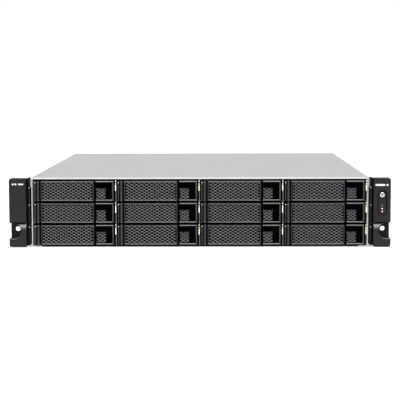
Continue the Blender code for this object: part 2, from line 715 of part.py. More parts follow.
def add_case(unit):
    """Sheet metal, ears and the power button."""
    unit.add("chassis_pan", chassis_pan(), "galvanised")
    unit.add("front_top_plate", front_top_plate(), "silver")
    unit.add("rear_cover", rear_cover(), "silver")
    unit.add("rear_panel", rear_panel(), "galvanised")
    unit.add("drive_cage", drive_cage(), "galvanised")
    for side, name in ((-1, "left"), (1, "right")):
        unit.add(f"{name}_ear_bracket", ear_bracket(side), "black_steel")
        unit.add(f"{name}_ear_bezel", ear_bezel(side), "ear_plastic")
    unit.add("power_button", power_button(), "button", (BUTTON_X, EAR_FRONT, BUTTON_Z))


def add_electronics(unit):
    """Boards, cooling and power."""
    unit.add("backplane_board", backplane_board(), "board")
    unit.add("fan_wall", fan_wall(), "galvanised")
    frame, rotor = fan_frame(), fan_rotor()
    for number, x in enumerate(FAN_X, 1):
        place = (x, FAN_WALL_Y + SHEET + GAP, FAN_Z)
        unit.add(f"fan_frame_{number}", frame, "fan_plastic", place)
        unit.add(f"fan_rotor_{number}", rotor, "fan_plastic", place)
    unit.add("motherboard", motherboard(), "board")
    unit.add("cpu_heatsink", cpu_heatsink(), "aluminium")
    unit.add("memory_module", memory_module(), "board")
    unit.add("psu_cage", psu_cage(), "galvanised")
    supply, lever = power_supply(), psu_lever()
    for name, z in zip(("lower", "upper"), PSU_Z):
        module = unit.add(f"psu_{name}", supply, "galvanised", (PSU_X, CASE_REAR - PSU_LENGTH, z))
        hinge = (LEVER_X, PSU_LENGTH - 0.0015, PSU_HEIGHT / 2)
        unit.add(f"psu_{name}_lever", lever, "lever_plastic", hinge, module)


clear_scene()
storage = Unit()
add_trays(storage)
add_case(storage)
add_electronics(storage)
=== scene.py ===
"""The looks of a rack-mounted storage unit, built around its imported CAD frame.

Metres, in the frame's axes: X to the right seen from the front, Y to the rear, Z up.
"""

import json
import math

import bmesh
import bpy
from mathutils import Matrix, Vector


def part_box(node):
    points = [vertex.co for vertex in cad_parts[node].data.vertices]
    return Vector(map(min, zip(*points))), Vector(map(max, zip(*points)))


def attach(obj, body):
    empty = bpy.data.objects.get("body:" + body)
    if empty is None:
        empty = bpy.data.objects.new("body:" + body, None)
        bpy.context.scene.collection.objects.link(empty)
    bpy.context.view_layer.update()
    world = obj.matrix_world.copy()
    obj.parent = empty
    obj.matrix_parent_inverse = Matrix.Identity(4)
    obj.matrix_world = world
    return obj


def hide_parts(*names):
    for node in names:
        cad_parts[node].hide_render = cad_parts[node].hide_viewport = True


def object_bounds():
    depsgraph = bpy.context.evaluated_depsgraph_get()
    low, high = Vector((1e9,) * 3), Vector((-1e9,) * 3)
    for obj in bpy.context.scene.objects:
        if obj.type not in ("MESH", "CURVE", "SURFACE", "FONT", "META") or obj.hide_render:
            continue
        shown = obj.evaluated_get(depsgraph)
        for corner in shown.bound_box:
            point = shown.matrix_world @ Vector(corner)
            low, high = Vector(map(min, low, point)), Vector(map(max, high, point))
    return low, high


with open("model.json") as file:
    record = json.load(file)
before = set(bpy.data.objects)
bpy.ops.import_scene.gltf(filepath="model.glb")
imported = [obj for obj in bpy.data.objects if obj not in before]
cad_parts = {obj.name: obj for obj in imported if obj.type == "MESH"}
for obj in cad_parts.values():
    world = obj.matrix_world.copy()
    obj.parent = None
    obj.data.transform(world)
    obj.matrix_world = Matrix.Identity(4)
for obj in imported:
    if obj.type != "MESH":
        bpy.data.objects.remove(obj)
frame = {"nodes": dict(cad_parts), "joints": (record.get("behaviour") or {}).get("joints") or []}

CAD_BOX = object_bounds()

# ---- Places taken from the frame ----
ROWS = (1, 2, 3)
COLUMNS = (1, 2, 3, 4)
BAYS = [f"r{row}c{column}" for row in ROWS for column in COLUMNS]
TRAY_LOW, TRAY_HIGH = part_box("tray_r1c1")
TRAY_HALF = (TRAY_HIGH.x - TRAY_LOW.x) / 2
TRAY_HEIGHT = TRAY_HIGH.z - TRAY_LOW.z
TRAY_LENGTH = TRAY_HIGH.y - TRAY_LOW.y
TRAY_ORIGIN = Vector(((TRAY_LOW.x + TRAY_HIGH.x) / 2, TRAY_LOW.y, TRAY_LOW.z))
JOINTS = {joint["name"]: joint for joint in frame["joints"]}
HINGE = Vector(JOINTS["handle_r1c1_swing"]["pos_m"]) - TRAY_ORIGIN
HANDLE_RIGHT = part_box("handle_r1c1")[1].x - TRAY_ORIGIN.x
HANDLE_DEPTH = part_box("handle_r1c1")[1].y - TRAY_ORIGIN.y
BARREL_RADIUS = 0.0016
GRILLE_LEFT = HINGE.x + 0.00365
LATCH_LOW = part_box("latch_r1c1")[0] - TRAY_ORIGIN
LATCH_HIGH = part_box("latch_r1c1")[1] - TRAY_ORIGIN
POCKET_LEFT = LATCH_LOW.x - 0.0004
POCKET_RIGHT = TRAY_HALF - 0.00215
POCKET_BAR = 0.0018
PIPE_X = -TRAY_HALF + 0.0019  # the middle of the light pipe
PIPE_WIDTH = 0.0011
HEIGHT = CAD_BOX[1].z
EAR_LOW, EAR_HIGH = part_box("right_ear_bezel")
BUTTON = (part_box("power_button")[0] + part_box("power_button")[1]) / 2
SCOOP_RADIUS = 0.0095
SCOOP = Vector((EAR_HIGH.x - 0.0058, 0.0202))
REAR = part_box("rear_panel")[1].y
FRONT_LIP = 0.0021  # how far the front plate hangs down over the trays
REAR_LIP = 0.0025
COVER_SCREW_DROP = 0.006
FLOOR_SIZE = 60.0
FLOOR_LIFT = 0.35  # glow that only the camera sees, as an overexposed backdrop has
SIDE_GLOW = 0.5
PANEL_GLOW = 3.6
PANEL_HALF_ANGLE = 36  # degrees
PANEL_FADE = 6  # degrees, on either side of the panel's edge
PANEL_TILT = 26  # degrees from overhead towards the front
CAMERA_LENS = 119.711  # millimetres, for a sensor 36 mm wide
CAMERA_PLACE = (0.02325, -1.6898, 0.216)
CAMERA_TURN = (90 - 5.334, 0.154, 0.763)  # degrees about X, Y and Z

# Staggered openings: columns this far apart, each opening this far above the next in its column.
HOLE_STEP_X = 0.003195
HOLE_STEP_Z = 0.00379
HOLE_RADIUS = 0.0015
HOLE_SQUASH = 0.82
HOLE_CHAMFER = 0.0004


# ---- Outlines ----


def rounded(corners, steps=4):
    """An outline from (x, y, radius) corners, each rounded with an arc."""
    points = []
    for i, (x, y, radius) in enumerate(corners):
        here = Vector((x, y))
        if radius == 0:
            points.append((x, y))
            continue
        before = (Vector(corners[i - 1][:2]) - here).normalized()
        after = (Vector(corners[(i + 1) % len(corners)][:2]) - here).normalized()
        half = before.angle(after) / 2
        centre = here + (before + after).normalized() * radius / math.sin(half)
        start = (here + before * radius / math.tan(half) - centre).normalized()
        end = (here + after * radius / math.tan(half) - centre).normalized()
        points += [tuple(centre + start.slerp(end, i / steps) * radius) for i in range(steps + 1)]
    return points


def rectangle(low, high, radius=0.0, steps=4):
    corners = ((low[0], low[1]), (high[0], low[1]), (high[0], high[1]), (low[0], high[1]))
    return rounded([(x, y, radius) for x, y in corners], steps)


def ring(centre, radius, sides=24, turn=0.0):
    """A regular polygon, with a corner at the angle turn."""
    angles = [turn + math.tau * i / sides for i in range(sides)]
    return [(centre[0] + radius * math.cos(a), centre[1] + radius * math.sin(a)) for a in angles]


def hexagon(x, z, radius, squash=1.0):
    return [(px, z + (pz - z) * squash) for px, pz in ring((x, z), radius, 6)]


def honeycomb(low, high, step_x, step_z, radius, squash=1.0, keep=None):
    """Hexagons in staggered columns, centred in a rectangle. keep(x, z) may leave some out."""
    columns = int((high[0] - low[0] - 2 * radius) / step_x) + 1
    rows = int((high[1] - low[1] - math.sqrt(3) * radius) / step_z) + 1
    middle = ((low[0] + high[0]) / 2, (low[1] + high[1]) / 2)
    holes = []
    for column in range(columns):
        x = middle[0] + (column - (columns - 1) / 2) * step_x
        count = rows - column % 2
        for row in range(count):
            z = middle[1] + (row - (count - 1) / 2) * step_z
            if keep is None or keep(x, z):
                holes.append(hexagon(x, z, radius, squash))
    return holes


# ---- Solid forms ----

ALONG = {
    "X": Matrix.Rotation(math.pi / 2, 4, "Y"),
    "Y": Matrix.Rotation(-math.pi / 2, 4, "X"),
    "Z": Matrix.Identity(4),
}
# A plate's outline is drawn in XY. About Y its points are x and z; about X they are y and z.
FACING = {
    "X": Matrix(((0, 0, 1, 0), (1, 0, 0, 0), (0, 1, 0, 0), (0, 0, 0, 1))),
    "Y": Matrix(((1, 0, 0, 0), (0, 0, -1, 0), (0, 1, 0, 0), (0, 0, 0, 1))),
    "Z": Matrix.Identity(4),
}


def new_object(name, data):
    obj = bpy.data.objects.new(name, data)
    bpy.context.scene.collection.objects.link(obj)
    return obj


def evaluated_mesh(obj):
    """A mesh of the object as its modifiers or its curve settings make it."""
    graph = bpy.context.evaluated_depsgraph_get()
    return bpy.data.meshes.new_from_object(obj.evaluated_get(graph))


def cube_between(low, high):
    part = bmesh.new()
    place = Matrix.Translation((low + high) / 2)
    bmesh.ops.create_cube(part, size=1, matrix=place @ Matrix.Diagonal((*(high - low), 1)))
    return part


def round_edges(part, edges, width, steps):
    bmesh.ops.bevel(part, geom=edges, offset=width, segments=steps, profile=0.5, affect="EDGES")


class Shape:
    """Collects closed forms in one mesh. Each form takes a material slot by its number."""

    def __init__(self):
        self.bm = bmesh.new()

    def add(self, part, slot=0):
        """Takes in a bmesh, and frees it."""
        for face in part.faces:
            face.material_index = slot
        mesh = bpy.data.meshes.new("part")
        part.to_mesh(mesh)
        part.free()
        self.bm.from_mesh(mesh)
        bpy.data.meshes.remove(mesh)
        return self

    def box(self, low, high, edge=0.0003, slot=0, steps=2, turn=None):
        """A box with rounded edges, turned by a matrix if one is given."""
        low, high = Vector(low), Vector(high)
        part = cube_between(low, high)
        edge = min(edge, 0.45 * min(high - low))
        if edge > 0:
            round_edges(part, part.edges[:], edge, steps)
        if turn is not None:
            part.transform(turn)
        return self.add(part, slot)

    def rod(self, centre, radius, length, axis="Z", edge=0.0002, slot=0, sides=24):
        """A round bar with rounded rims."""
        part = bmesh.new()
        place = Matrix.Translation(centre) @ ALONG[axis]
        radii = {"radius1": radius, "radius2": radius}
        bmesh.ops.create_cone(part, cap_ends=True, segments=sides, depth=length, matrix=place, **radii)
        if edge > 0:
            round_edges(part, [e for e in part.edges if e.calc_face_angle() > 1.0], edge, 2)
        return self.add(part, slot)

    def plate(
        self, outline, low, high, axis="Y", holes=(), edge=0.0002, steps=1, slot=0, wall=None, rim=None
    ):
        """A flat outline with holes, from low to high along an axis, its edges rounded or chamfered.
        Its walls, along the axis, and the rims that face up may take slots of their own."""
        curve = bpy.data.curves.new("outline", "CURVE")
        curve.dimensions = "2D"
        curve.fill_mode = "BOTH"
        curve.extrude = (high - low) / 2 - edge
        curve.bevel_depth = edge
        curve.bevel_resolution = steps
        curve.offset = -edge
        for points in (outline, *holes):
            spline = curve.splines.new("POLY")
            spline.points.add(len(points) - 1)
            for point, (x, y) in zip(spline.points, points):
                point.co = (x, y, 0, 1)
            spline.use_cyclic_u = True
        flat = new_object("outline", curve)
        mesh = evaluated_mesh(flat)
        part = bmesh.new()
        part.from_mesh(mesh)
        bpy.data.objects.remove(flat)
        bpy.data.curves.remove(curve)
        bpy.data.meshes.remove(mesh)
        bmesh.ops.remove_doubles(part, verts=part.verts, dist=2e-6)
        shift = Vector([0, 0, (low + high) / 2])
        count = len(part.faces)
        part.transform(FACING[axis] @ Matrix.Translation(-shift if axis == "Y" else shift))
        bmesh.ops.recalc_face_normals(part, faces=part.faces)
        self.add(part, slot)
        self.bm.faces.ensure_lookup_table()
        for face in self.bm.faces[-count:]:
            slope = abs(face.normal["XYZ".index(axis)])
            if wall is not None and slope < 0.1:
                face.material_index = wall
            if rim is not None and 0.1 < slope < 0.9 and face.normal.z > 0.2:
                face.material_index = rim
        return self

    def mirrored(self):
        """The same forms on the other side of the YZ plane."""
        self.bm.transform(Matrix.Diagonal((-1, 1, 1, 1)))
        bmesh.ops.reverse_faces(self.bm, faces=self.bm.faces)
        return self

    def mesh(self, name, materials, sharp=50):
        made = bpy.data.meshes.new(name)
        self.bm.to_mesh(made)
        self.bm.free()
        for material in materials:
            made.materials.append(material)
        made.shade_smooth()
        made.set_sharp_from_angle(angle=math.radians(sharp))
        return made


def piece(name, mesh, body, place=(0, 0, 0), stands_for=()):
    """Puts a mesh in the scene, riding on a CAD body."""
    obj = new_object(name, mesh)
    obj.location = place
    normals = obj.modifiers.new("normals", "WEIGHTED_NORMAL")
    normals.keep_sharp = True
    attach(obj, body)
    if stands_for:
        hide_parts(*stands_for)
    return obj


# ---- Materials ----


class Finish:
    """A Principled material whose nodes are added step by step. Its patterns are in the object's metres."""

    def __init__(self, name, colour, roughness, metallic=0.0, specular=0.5):
        self.material = bpy.data.materials.new(name)
        self.material.use_nodes = True
        self.tree = self.material.node_tree
        self.shader = self.tree.nodes["Principled BSDF"]
        self.colour, self.roughness = colour, roughness
        self.set("Base Color", (*colour, 1))
        self.set("Roughness", roughness)
        self.set("Metallic", metallic)
        self.set("Specular IOR Level", specular)
        here = self.node("ShaderNodeTexCoord").outputs["Object"]
        chance = self.node("ShaderNodeObjectInfo").outputs["Random"]
        moved = self.node("ShaderNodeVectorMath", operation="ADD")
        self.link(here, moved.inputs[0])
        self.link(chance, moved.inputs[1])
        self.place = moved.outputs[0]
        self.normal = None

    def set(self, name, value):
        self.shader.inputs[name].default_value = value

    def node(self, kind, **settings):
        made = self.tree.nodes.new(kind)
        for key, value in settings.items():
            setattr(made, key, value)
        return made

    def link(self, source, target):
        self.tree.links.new(source, target)

    def feed(self, value, name):
        """Drives one of the shader's inputs."""
        self.link(value, self.shader.inputs[name])
        return self
    def stretched(self, stretch):
        mapping = self.node("ShaderNodeMapping")
        mapping.inputs["Scale"].default_value = stretch
        self.link(self.place, mapping.inputs["Vector"])
        return mapping.outputs["Vector"]

    def noise(self, scale, detail=3.0, stretch=(1, 1, 1)):
        """A value from 0 to 1 with features about 1/scale metres across."""
        made = self.node("ShaderNodeTexNoise")
        made.inputs["Scale"].default_value = scale
        made.inputs["Detail"].default_value = detail
        self.link(self.stretched(stretch), made.inputs["Vector"])
        return made.outputs["Fac"]

    def cells(self, scale, feature="F1", output="Color", stretch=(1, 1, 1)):
        made = self.node("ShaderNodeTexVoronoi", feature=feature)
        made.inputs["Scale"].default_value = scale
        self.link(self.stretched(stretch), made.inputs["Vector"])
        return made.outputs[output]

    def spread(self, value, low, high, new_low, new_high):
        """The value mapped from one range to another, and held inside it."""
        made = self.node("ShaderNodeMapRange")
        for key, number in zip(("From Min", "From Max", "To Min", "To Max"), (low, high, new_low, new_high)):
            made.inputs[key].default_value = number
        self.link(value, made.inputs["Value"])
        return made.outputs["Result"]

    def tint(self, factor, other):
        """Mixes another colour into the base colour."""
        mix = self.node("ShaderNodeMix", data_type="RGBA")
        self.link(factor, mix.inputs[0])
        base = self.shader.inputs["Base Color"]
        if base.is_linked:
            self.link(base.links[0].from_socket, mix.inputs[6])
        else:
            mix.inputs[6].default_value = (*self.colour, 1)
        mix.inputs[7].default_value = (*other, 1)
        self.link(mix.outputs[2], base)
        return self

    def mottle(self, value, amount):
        """Colour that varies with the value by a share of itself, either way."""
        darker = [c * (1 - amount) for c in self.colour]
        lighter = [min(1, c * (1 + amount)) for c in self.colour]
        self.set("Base Color", (*darker, 1))
        self.colour = darker
        return self.tint(self.spread(value, 0.3, 0.7, 0, 1), lighter)

    def gloss(self, value, amount):
        """Roughness that varies with the value, either way."""
        low, high = self.roughness - amount, self.roughness + amount
        return self.feed(self.spread(value, 0.3, 0.7, low, high), "Roughness")

    def relief(self, value, depth, strength=1.0):
        """Bump from the value, depth metres high."""
        bump = self.node("ShaderNodeBump")
        bump.inputs["Strength"].default_value = strength
        bump.inputs["Distance"].default_value = depth
        self.link(value, bump.inputs["Height"])
        if self.normal is not None:
            self.link(self.normal, bump.inputs["Normal"])
        self.normal = bump.outputs["Normal"]
        return self.feed(self.normal, "Normal")

    def edge_highlight_and_polish(self, radius, colour, amount):
        """Lighter edges: a painted highlight along every edge, together with the polish of handling."""
        bevel = self.node("ShaderNodeBevel", samples=3)
        bevel.inputs["Radius"].default_value = radius
        true_normal = self.node("ShaderNodeNewGeometry").outputs["Normal"]
        dot = self.node("ShaderNodeVectorMath", operation="DOT_PRODUCT")
        self.link(bevel.outputs["Normal"], dot.inputs[0])
        self.link(true_normal, dot.inputs[1])
        return self.tint(self.spread(dot.outputs["Value"], 1.0, 0.75, 0.0, amount), colour)


def moulded(name, colour, roughness, specular, grain=2600):
    """Fine spark-textured plastic."""
    made = Finish(name, colour, roughness, specular=specular)
    fine = made.noise(grain, 2.0)
    return made.mottle(made.noise(55, 4.0), 0.1).gloss(fine, 0.06).relief(fine, 0.00003)


def slopes_with_painted_sheen(name, colour, roughness):
    """Moulded plastic whose specular level rises on faces that turn up: a painted sheen where the overhead
    light falls.
    """
    made = moulded(name, colour, roughness, 0.15, 3400)
    facing = made.node("ShaderNodeSeparateXYZ")
    made.link(made.node("ShaderNodeNewGeometry").outputs["Normal"], facing.inputs[0])
    made.set("IOR", 1.8)
    return made.feed(made.spread(facing.outputs["Z"], 0.1, 0.5, 0.15, 1.0), "Specular IOR Level")


def zinc_coated(name, colour, roughness, spangle=150):
    """Galvanised sheet: faint crystal patches under a fine rolled grain."""
    made = Finish(name, colour, roughness, metallic=0.85)
    patches = made.cells(spangle)
    rolled = made.noise(900, 2.0, (0.06, 1, 1))
    return made.mottle(patches, 0.05).gloss(patches, 0.05).relief(rolled, 0.000012)


def coated_silver(name):
    """Silver-coated sheet with faint streaks across the unit."""
    made = Finish(name, (0.53, 0.52, 0.53), 0.42, metallic=0.35, specular=0.4)
    streaks = made.noise(260, 3.0, (0.02, 1, 1))
    clouds = made.noise(7, 3.0, (1, 2, 1))
    flakes = made.noise(4200, 1.0)
    made.mottle(streaks, 0.022).tint(made.spread(clouds, 0.35, 0.7, 0.0, 0.35), (0.5, 0.495, 0.51))
    return made.gloss(streaks, 0.04).relief(flakes, 0.00001)


def powder_coat(name, colour):
    made = Finish(name, colour, 0.42, specular=0.15)
    peel = made.noise(1400, 3.0)
    return made.mottle(made.noise(80), 0.12).gloss(peel, 0.08).relief(peel, 0.00004)


def turned_metal(name, colour, roughness, stretch=(1, 1, 0.05)):
    """Plain metal with machining or drawing marks along one axis."""
    made = Finish(name, colour, roughness, metallic=1.0)
    marks = made.noise(1800, 2.0, stretch)
    return made.mottle(marks, 0.06).gloss(marks, 0.07).relief(marks, 0.000012)


def solder_mask(name):
    """Green board with lighter tracks, a scatter of plated holes and a thin gloss coat."""
    made = Finish(name, (0.006, 0.06, 0.03), 0.38)
    tracks = made.cells(210, "DISTANCE_TO_EDGE", "Distance", (1, 0.35, 1))
    vias = made.cells(330, "F1", "Distance")
    made.tint(made.spread(tracks, 0.05, 0.035, 0.0, 0.7), (0.014, 0.11, 0.052))
    made.tint(made.spread(vias, 0.13, 0.1, 0.0, 0.9), (0.45, 0.38, 0.2))
    made.relief(made.spread(tracks, 0.05, 0.035, 0.0, 1.0), 0.00003)
    made.set("Coat Weight", 0.35)
    return made


def light(name, colour, strength):
    """A diffused lamp or light guide, its glow varying a little across it with noise."""
    made = Finish(name, colour, 0.35)
    cloud = made.noise(420, 2.0)
    made.mottle(cloud, 0.05)
    made.set("Emission Color", (*colour, 1))
    return made.feed(made.spread(cloud, 0.2, 0.8, strength * 0.8, strength * 1.2), "Emission Strength")


# Moulded plastics: colour, roughness, specular level and, if it isn't the usual one, the grain's scale.
MOULDED = {
    # pocket: a near-black far darker than the plastic around it, painted shade for cavities, hole walls,
    # sides of parts and front strips.
    "pocket": ((0.0014, 0.0014, 0.0016), 0.6, 0.05),
    "dark": ((0.012, 0.012, 0.013), 0.4, 0.3),
    "bar": ((0.04, 0.038, 0.039), 0.33, 0.55),
    "pipe": ((0.036, 0.035, 0.036), 0.34, 0.6),
    "grille": ((0.024, 0.022, 0.025), 0.3, 0.58),
    "ear": ((0.014, 0.0125, 0.0145), 0.4, 0.26, 3400),
    "fan": ((0.014, 0.014, 0.015), 0.4, 0.45),
    "chip": ((0.012, 0.012, 0.013), 0.35, 0.5, 1500),
    "socket": ((0.01, 0.01, 0.011), 0.45, 0.4),
    "blue": ((0.02, 0.1, 0.45), 0.4, 0.5),
    "lever": ((0.02, 0.3, 0.1), 0.35, 0.5),
    "sleeve": ((0.015, 0.015, 0.016), 0.55, 0.4, 900),
    "mark": ((0.8, 0.8, 0.8), 0.45, 0.5),
}
CHARCOAL = moulded("charcoal_moulding", (0.03, 0.028, 0.031), 0.42, 0.35)
FINISHES = {key: moulded(f"{key}_moulding", *values) for key, values in MOULDED.items()}
FINISHES |= {
    # tray: the charcoal moulding with lighter edges, a painted highlight together with handling polish.
    "tray": CHARCOAL.edge_highlight_and_polish(0.0006, (0.2, 0.19, 0.2), 0.5),
    # ear_foot: its up-facing slopes reflect more strongly, a painted sheen under the seam.
    "ear_foot": slopes_with_painted_sheen("ear_foot_moulding", (0.0135, 0.012, 0.0135), 0.32),
    "silver": coated_silver("silver_coated_sheet"),
    "zinc": zinc_coated("zinc_coated_sheet", (0.66, 0.665, 0.68), 0.36),
    "bright_zinc": zinc_coated("bright_zinc_sheet", (0.84, 0.84, 0.85), 0.34, 260),
    # A much darker copy of the zinc sheet, for the drive cage: painted shade inside the bays.
    "shaded_zinc": zinc_coated("shaded_zinc_sheet", (0.22, 0.22, 0.23), 0.4, 260),
    "black_steel": powder_coat("black_powder_coat", (0.012, 0.012, 0.013)),
    # edge: a bright metal laid only on rims that face up, a painted highlight of the overhead light.
    "edge": turned_metal("painted_highlight_metal", (0.24, 0.23, 0.24), 0.28, (1, 1, 1)),
    "button": turned_metal("button_metal", (0.8, 0.8, 0.81), 0.22, (1, 0.05, 1)),
    "screw": turned_metal("plated_screw", (0.62, 0.62, 0.64), 0.28, (1, 1, 1)),
    "steel_pin": turned_metal("steel_pin", (0.55, 0.55, 0.56), 0.25),
    "gold": turned_metal("gold_contact", (0.85, 0.62, 0.25), 0.25),
    "aluminium": turned_metal("extruded_aluminium", (0.74, 0.74, 0.76), 0.34, (1, 0.03, 1)),
    "board": solder_mask("solder_mask"),
    "guide": light("light_guide", (0.93, 1.0, 0.7), 1.1),
    "lens": light("frosted_lens", (0.95, 0.96, 1.0), 1.0),
    # dim_lens: a lens that is not lit, given a faint glow: painted light.
    "dim_lens": light("unlit_lens", (0.6, 0.6, 0.62), 0.06),
    # amber: a faint amber glow on the rings round the lit lamps, a painted halo.
    "amber": light("amber_ring", (0.42, 0.12, 0.07), 0.04),
    "green_lamp": light("green_lamp", (0.25, 1.0, 0.35), 0.9),
}
MATERIALS = {key: made.material for key, made in FINISHES.items()}


def finishes(*names):
    return [MATERIALS[name] for name in names]


# ---- Trays ----


def tray_origin(bay):
    low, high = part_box("tray_" + bay)
    return Vector(((low.x + high.x) / 2, low.y, low.z))


def handle_mesh():
    """The lever: a rim round a honeycomb of openings, a hinge barrel, a web and steel pivot stubs."""
    rim, sunk = 0.0015, 0.0003
    top = TRAY_HEIGHT
    shape = Shape()
    outer = rectangle((GRILLE_LEFT, 0), (HANDLE_RIGHT, top), 0.0006)
    low = (GRILLE_LEFT + rim, rim)
    high = (HANDLE_RIGHT - rim, top - rim)
    opening = rectangle(low, high, 0.0004)
    # Here and below, the walls and the web take the near-black pocket finish, painted shade, and rims that
    # face up take the edge metal, a painted highlight.
    shape.plate(outer, 0, HANDLE_DEPTH, holes=[opening], edge=0.00055, steps=0, wall=2, rim=3)
    overlap = 0.0003
    back = rectangle((low[0] - overlap, low[1] - overlap), (high[0] + overlap, high[1] + overlap))
    openings = honeycomb(low, high, HOLE_STEP_X, HOLE_STEP_Z, HOLE_RADIUS, HOLE_SQUASH)
    shape.plate(back, sunk, 0.002, holes=openings, edge=HOLE_CHAMFER, steps=0, wall=2, rim=3)
    barrel = top - 0.0032
    shape.rod((HINGE.x, HINGE.y, top / 2), BARREL_RADIUS, barrel, edge=0.0003, sides=32)
    web_front = HINGE.y + 0.0003
    shape.box((HINGE.x, web_front, 0.0018), (GRILLE_LEFT + 0.001, HANDLE_DEPTH, top - 0.0018), 0.0003, slot=2)
    shape.rod((HINGE.x, HINGE.y, top / 2), 0.001, top - 0.0006, slot=1, sides=16)
    return shape.mesh("vented_handle", finishes("grille", "steel_pin", "pocket", "edge"))


def tray_mesh():
    """The carrier: bezel with air bars, finger pocket, light pipe, hinge lugs, rails and floor."""
    top = TRAY_HEIGHT
    face, back = 0.0045, 0.016
    shape = Shape()
    window = rectangle((-0.0405, 0.004), (0.0228, top - 0.004), 0.001)
    right, bar = POCKET_RIGHT, POCKET_BAR
    cavity = rectangle((POCKET_LEFT - 0.001, bar), (right - bar, top - bar), 0.0006)
    outer = rectangle((-TRAY_HALF, 0), (TRAY_HALF, top), 0.0005)
    # The bezel, its air bars, the pocket's back wall and the frame's back are in the near-black pocket
    # finish: painted shade behind the handle.
    shape.plate(outer, face, back, holes=[window, cavity], edge=0.0004, steps=2, slot=1)
    for i in range(6):
        z = 0.0047 + 0.0027 * i
        shape.box((-0.041, 0.008, z), (0.0233, 0.0125, z + 0.0019), slot=1)
    # The pocket's back wall, and its frame, which is open towards the handle.
    shape.box((POCKET_LEFT - 0.0015, 0.0132, 0.001), (right, 0.015, top - 0.001), slot=1)
    arms = [(POCKET_LEFT, 0, 0.0003), (right, 0, 0.0009), (right, top, 0.0009), (POCKET_LEFT, top, 0.0003)]
    arms += [(POCKET_LEFT, top - bar, 0.0003), (right - bar, top - bar, 0.0007)]
    arms += [(right - bar, bar, 0.0007), (POCKET_LEFT, bar, 0.0003)]
    frame_outline = rounded(arms)
    # The frame's walls take painted shade, and its rims that face up a painted highlight.
    shape.plate(frame_outline, 0, 0.0016, edge=0.0005, steps=0, slot=4, wall=1, rim=6)
    shape.plate(frame_outline, 0.0014, face + 0.0006, edge=0.0001, slot=1)
    # The light pipe beside the hinge, with a frosted end.
    low = (PIPE_X - PIPE_WIDTH / 2, 0.0004, 0.0002)
    shape.box(low, (PIPE_X + PIPE_WIDTH / 2, face + 0.0006, top - 0.0002), 0.0004, steps=3, slot=5)
    shape.rod((PIPE_X, 0.0004, top - 0.002), 0.0006, 0.0012, "Y", 0.0002, slot=2, sides=16)
    left, right, foot, nose = HINGE.x - 0.0021, HINGE.x + 0.0021, face + 0.001, 0.0018
    lug = rounded([(left, foot, 0), (left, 0.0002, nose), (right, 0.0002, nose), (right, foot, 0)])
    for z in (0, top - 0.0012):
        shape.plate(lug, z, z + 0.0012, "Z", [ring((HINGE.x, HINGE.y), 0.00115, 16)], 0.00015)
    # Side rails: screw holes for a drive, long openings that save plastic, and a spring finger.
    holes = [ring((y, 0.0068), 0.0016, 16) for y in (0.044, 0.06, 0.104, 0.12)]
    holes += [rectangle((y, 0.0125), (y + 0.022, 0.0205), 0.0012) for y in (0.032, 0.06, 0.088, 0.116)]
    holes.append(rectangle((0.142, 0.006), (0.158, 0.019), 0.0012))
    rail = rectangle((back - 0.001, 0), (TRAY_LENGTH, 0.024), 0.0012)
    for x in (-TRAY_HALF, TRAY_HALF - 0.0009):
        shape.plate(rail, x, x + 0.0009, "X", holes, 0.0002)
    finger = Matrix.Translation((0, 0.15, 0)) @ Matrix.Rotation(math.radians(-1.6), 4, "Z")
    low, high = (TRAY_HALF - 0.0009, -0.006, 0.0085), (TRAY_HALF - 0.0001, 0.0075, 0.0165)
    shape.box(low, high, 0.0002, slot=3, turn=finger)
    # The floor: thin, with large openings and four screw pads.
    floor = rectangle((-TRAY_HALF + 0.0005, back - 0.0008), (TRAY_HALF - 0.0005, TRAY_LENGTH), 0.001)
    gaps = []
    for y, end in ((0.02, 0.048), (0.066, 0.098), (0.116, 0.15)):
        gaps += [rectangle((x, y), (x + 0.0285, end), 0.003) for x in (-0.046, -0.01425, 0.0175)]
    pads = [ring((x, y), 0.0017, 16) for x in (-0.0475, 0.0475) for y in (0.057, 0.107)]
    shape.plate(floor, 0.0, 0.0008, "Z", gaps + pads, 0.0001)
    slots = finishes("tray", "pocket", "mark", "steel_pin", "bar", "pipe", "edge")
    return shape.mesh("drive_carrier", slots)


def latch_mesh():
    """The release button: a soft-edged block with a dimpled face, on a stem."""
    low, high = LATCH_LOW, LATCH_HIGH
    middle = (low + high) / 2
    step = 0.0031
    shape = Shape()
    skin = low.y + 0.0009
    # The block, the stem and the dimples' walls are in the near-black pocket finish, painted shade; the
    # dimples' up-facing rims take a painted highlight.
    shape.box((low.x, skin, low.z), (high.x, low.y + 0.006, high.z), 0.0006, steps=3, slot=1)
    dimples = []
    for column in range(4):
        x = middle.x + (column - 1.5) * step
        for row in range(3):
            z = middle.z + (row - 1 + (0.25 if column % 2 else -0.25)) * HOLE_STEP_Z
            dimples.append(hexagon(x, z, 0.00125, HOLE_SQUASH))
    outline = rectangle((low.x, low.z), (high.x, high.z), 0.0008)
    shape.plate(outline, low.y, skin + 0.0002, holes=dimples, edge=0.00036, steps=0, wall=1, rim=2)
    stem_low = (low.x + 0.002, low.y + 0.0055, low.z + 0.003)
    shape.box(stem_low, (high.x - 0.003, high.y, high.z - 0.004), 0.0004, slot=1)
    return shape.mesh("latch_button", finishes("grille", "pocket", "edge"))


def add_trays():
    """Twelve carriers with their handles and latches. The copies share meshes."""
    meshes = {"tray": tray_mesh(), "handle": handle_mesh(), "latch": latch_mesh()}
    for bay in BAYS:
        for kind, mesh in meshes.items():
            node = f"{kind}_{bay}"
            piece(f"{kind}_{bay}_looks", mesh, node, tray_origin(bay), [node])


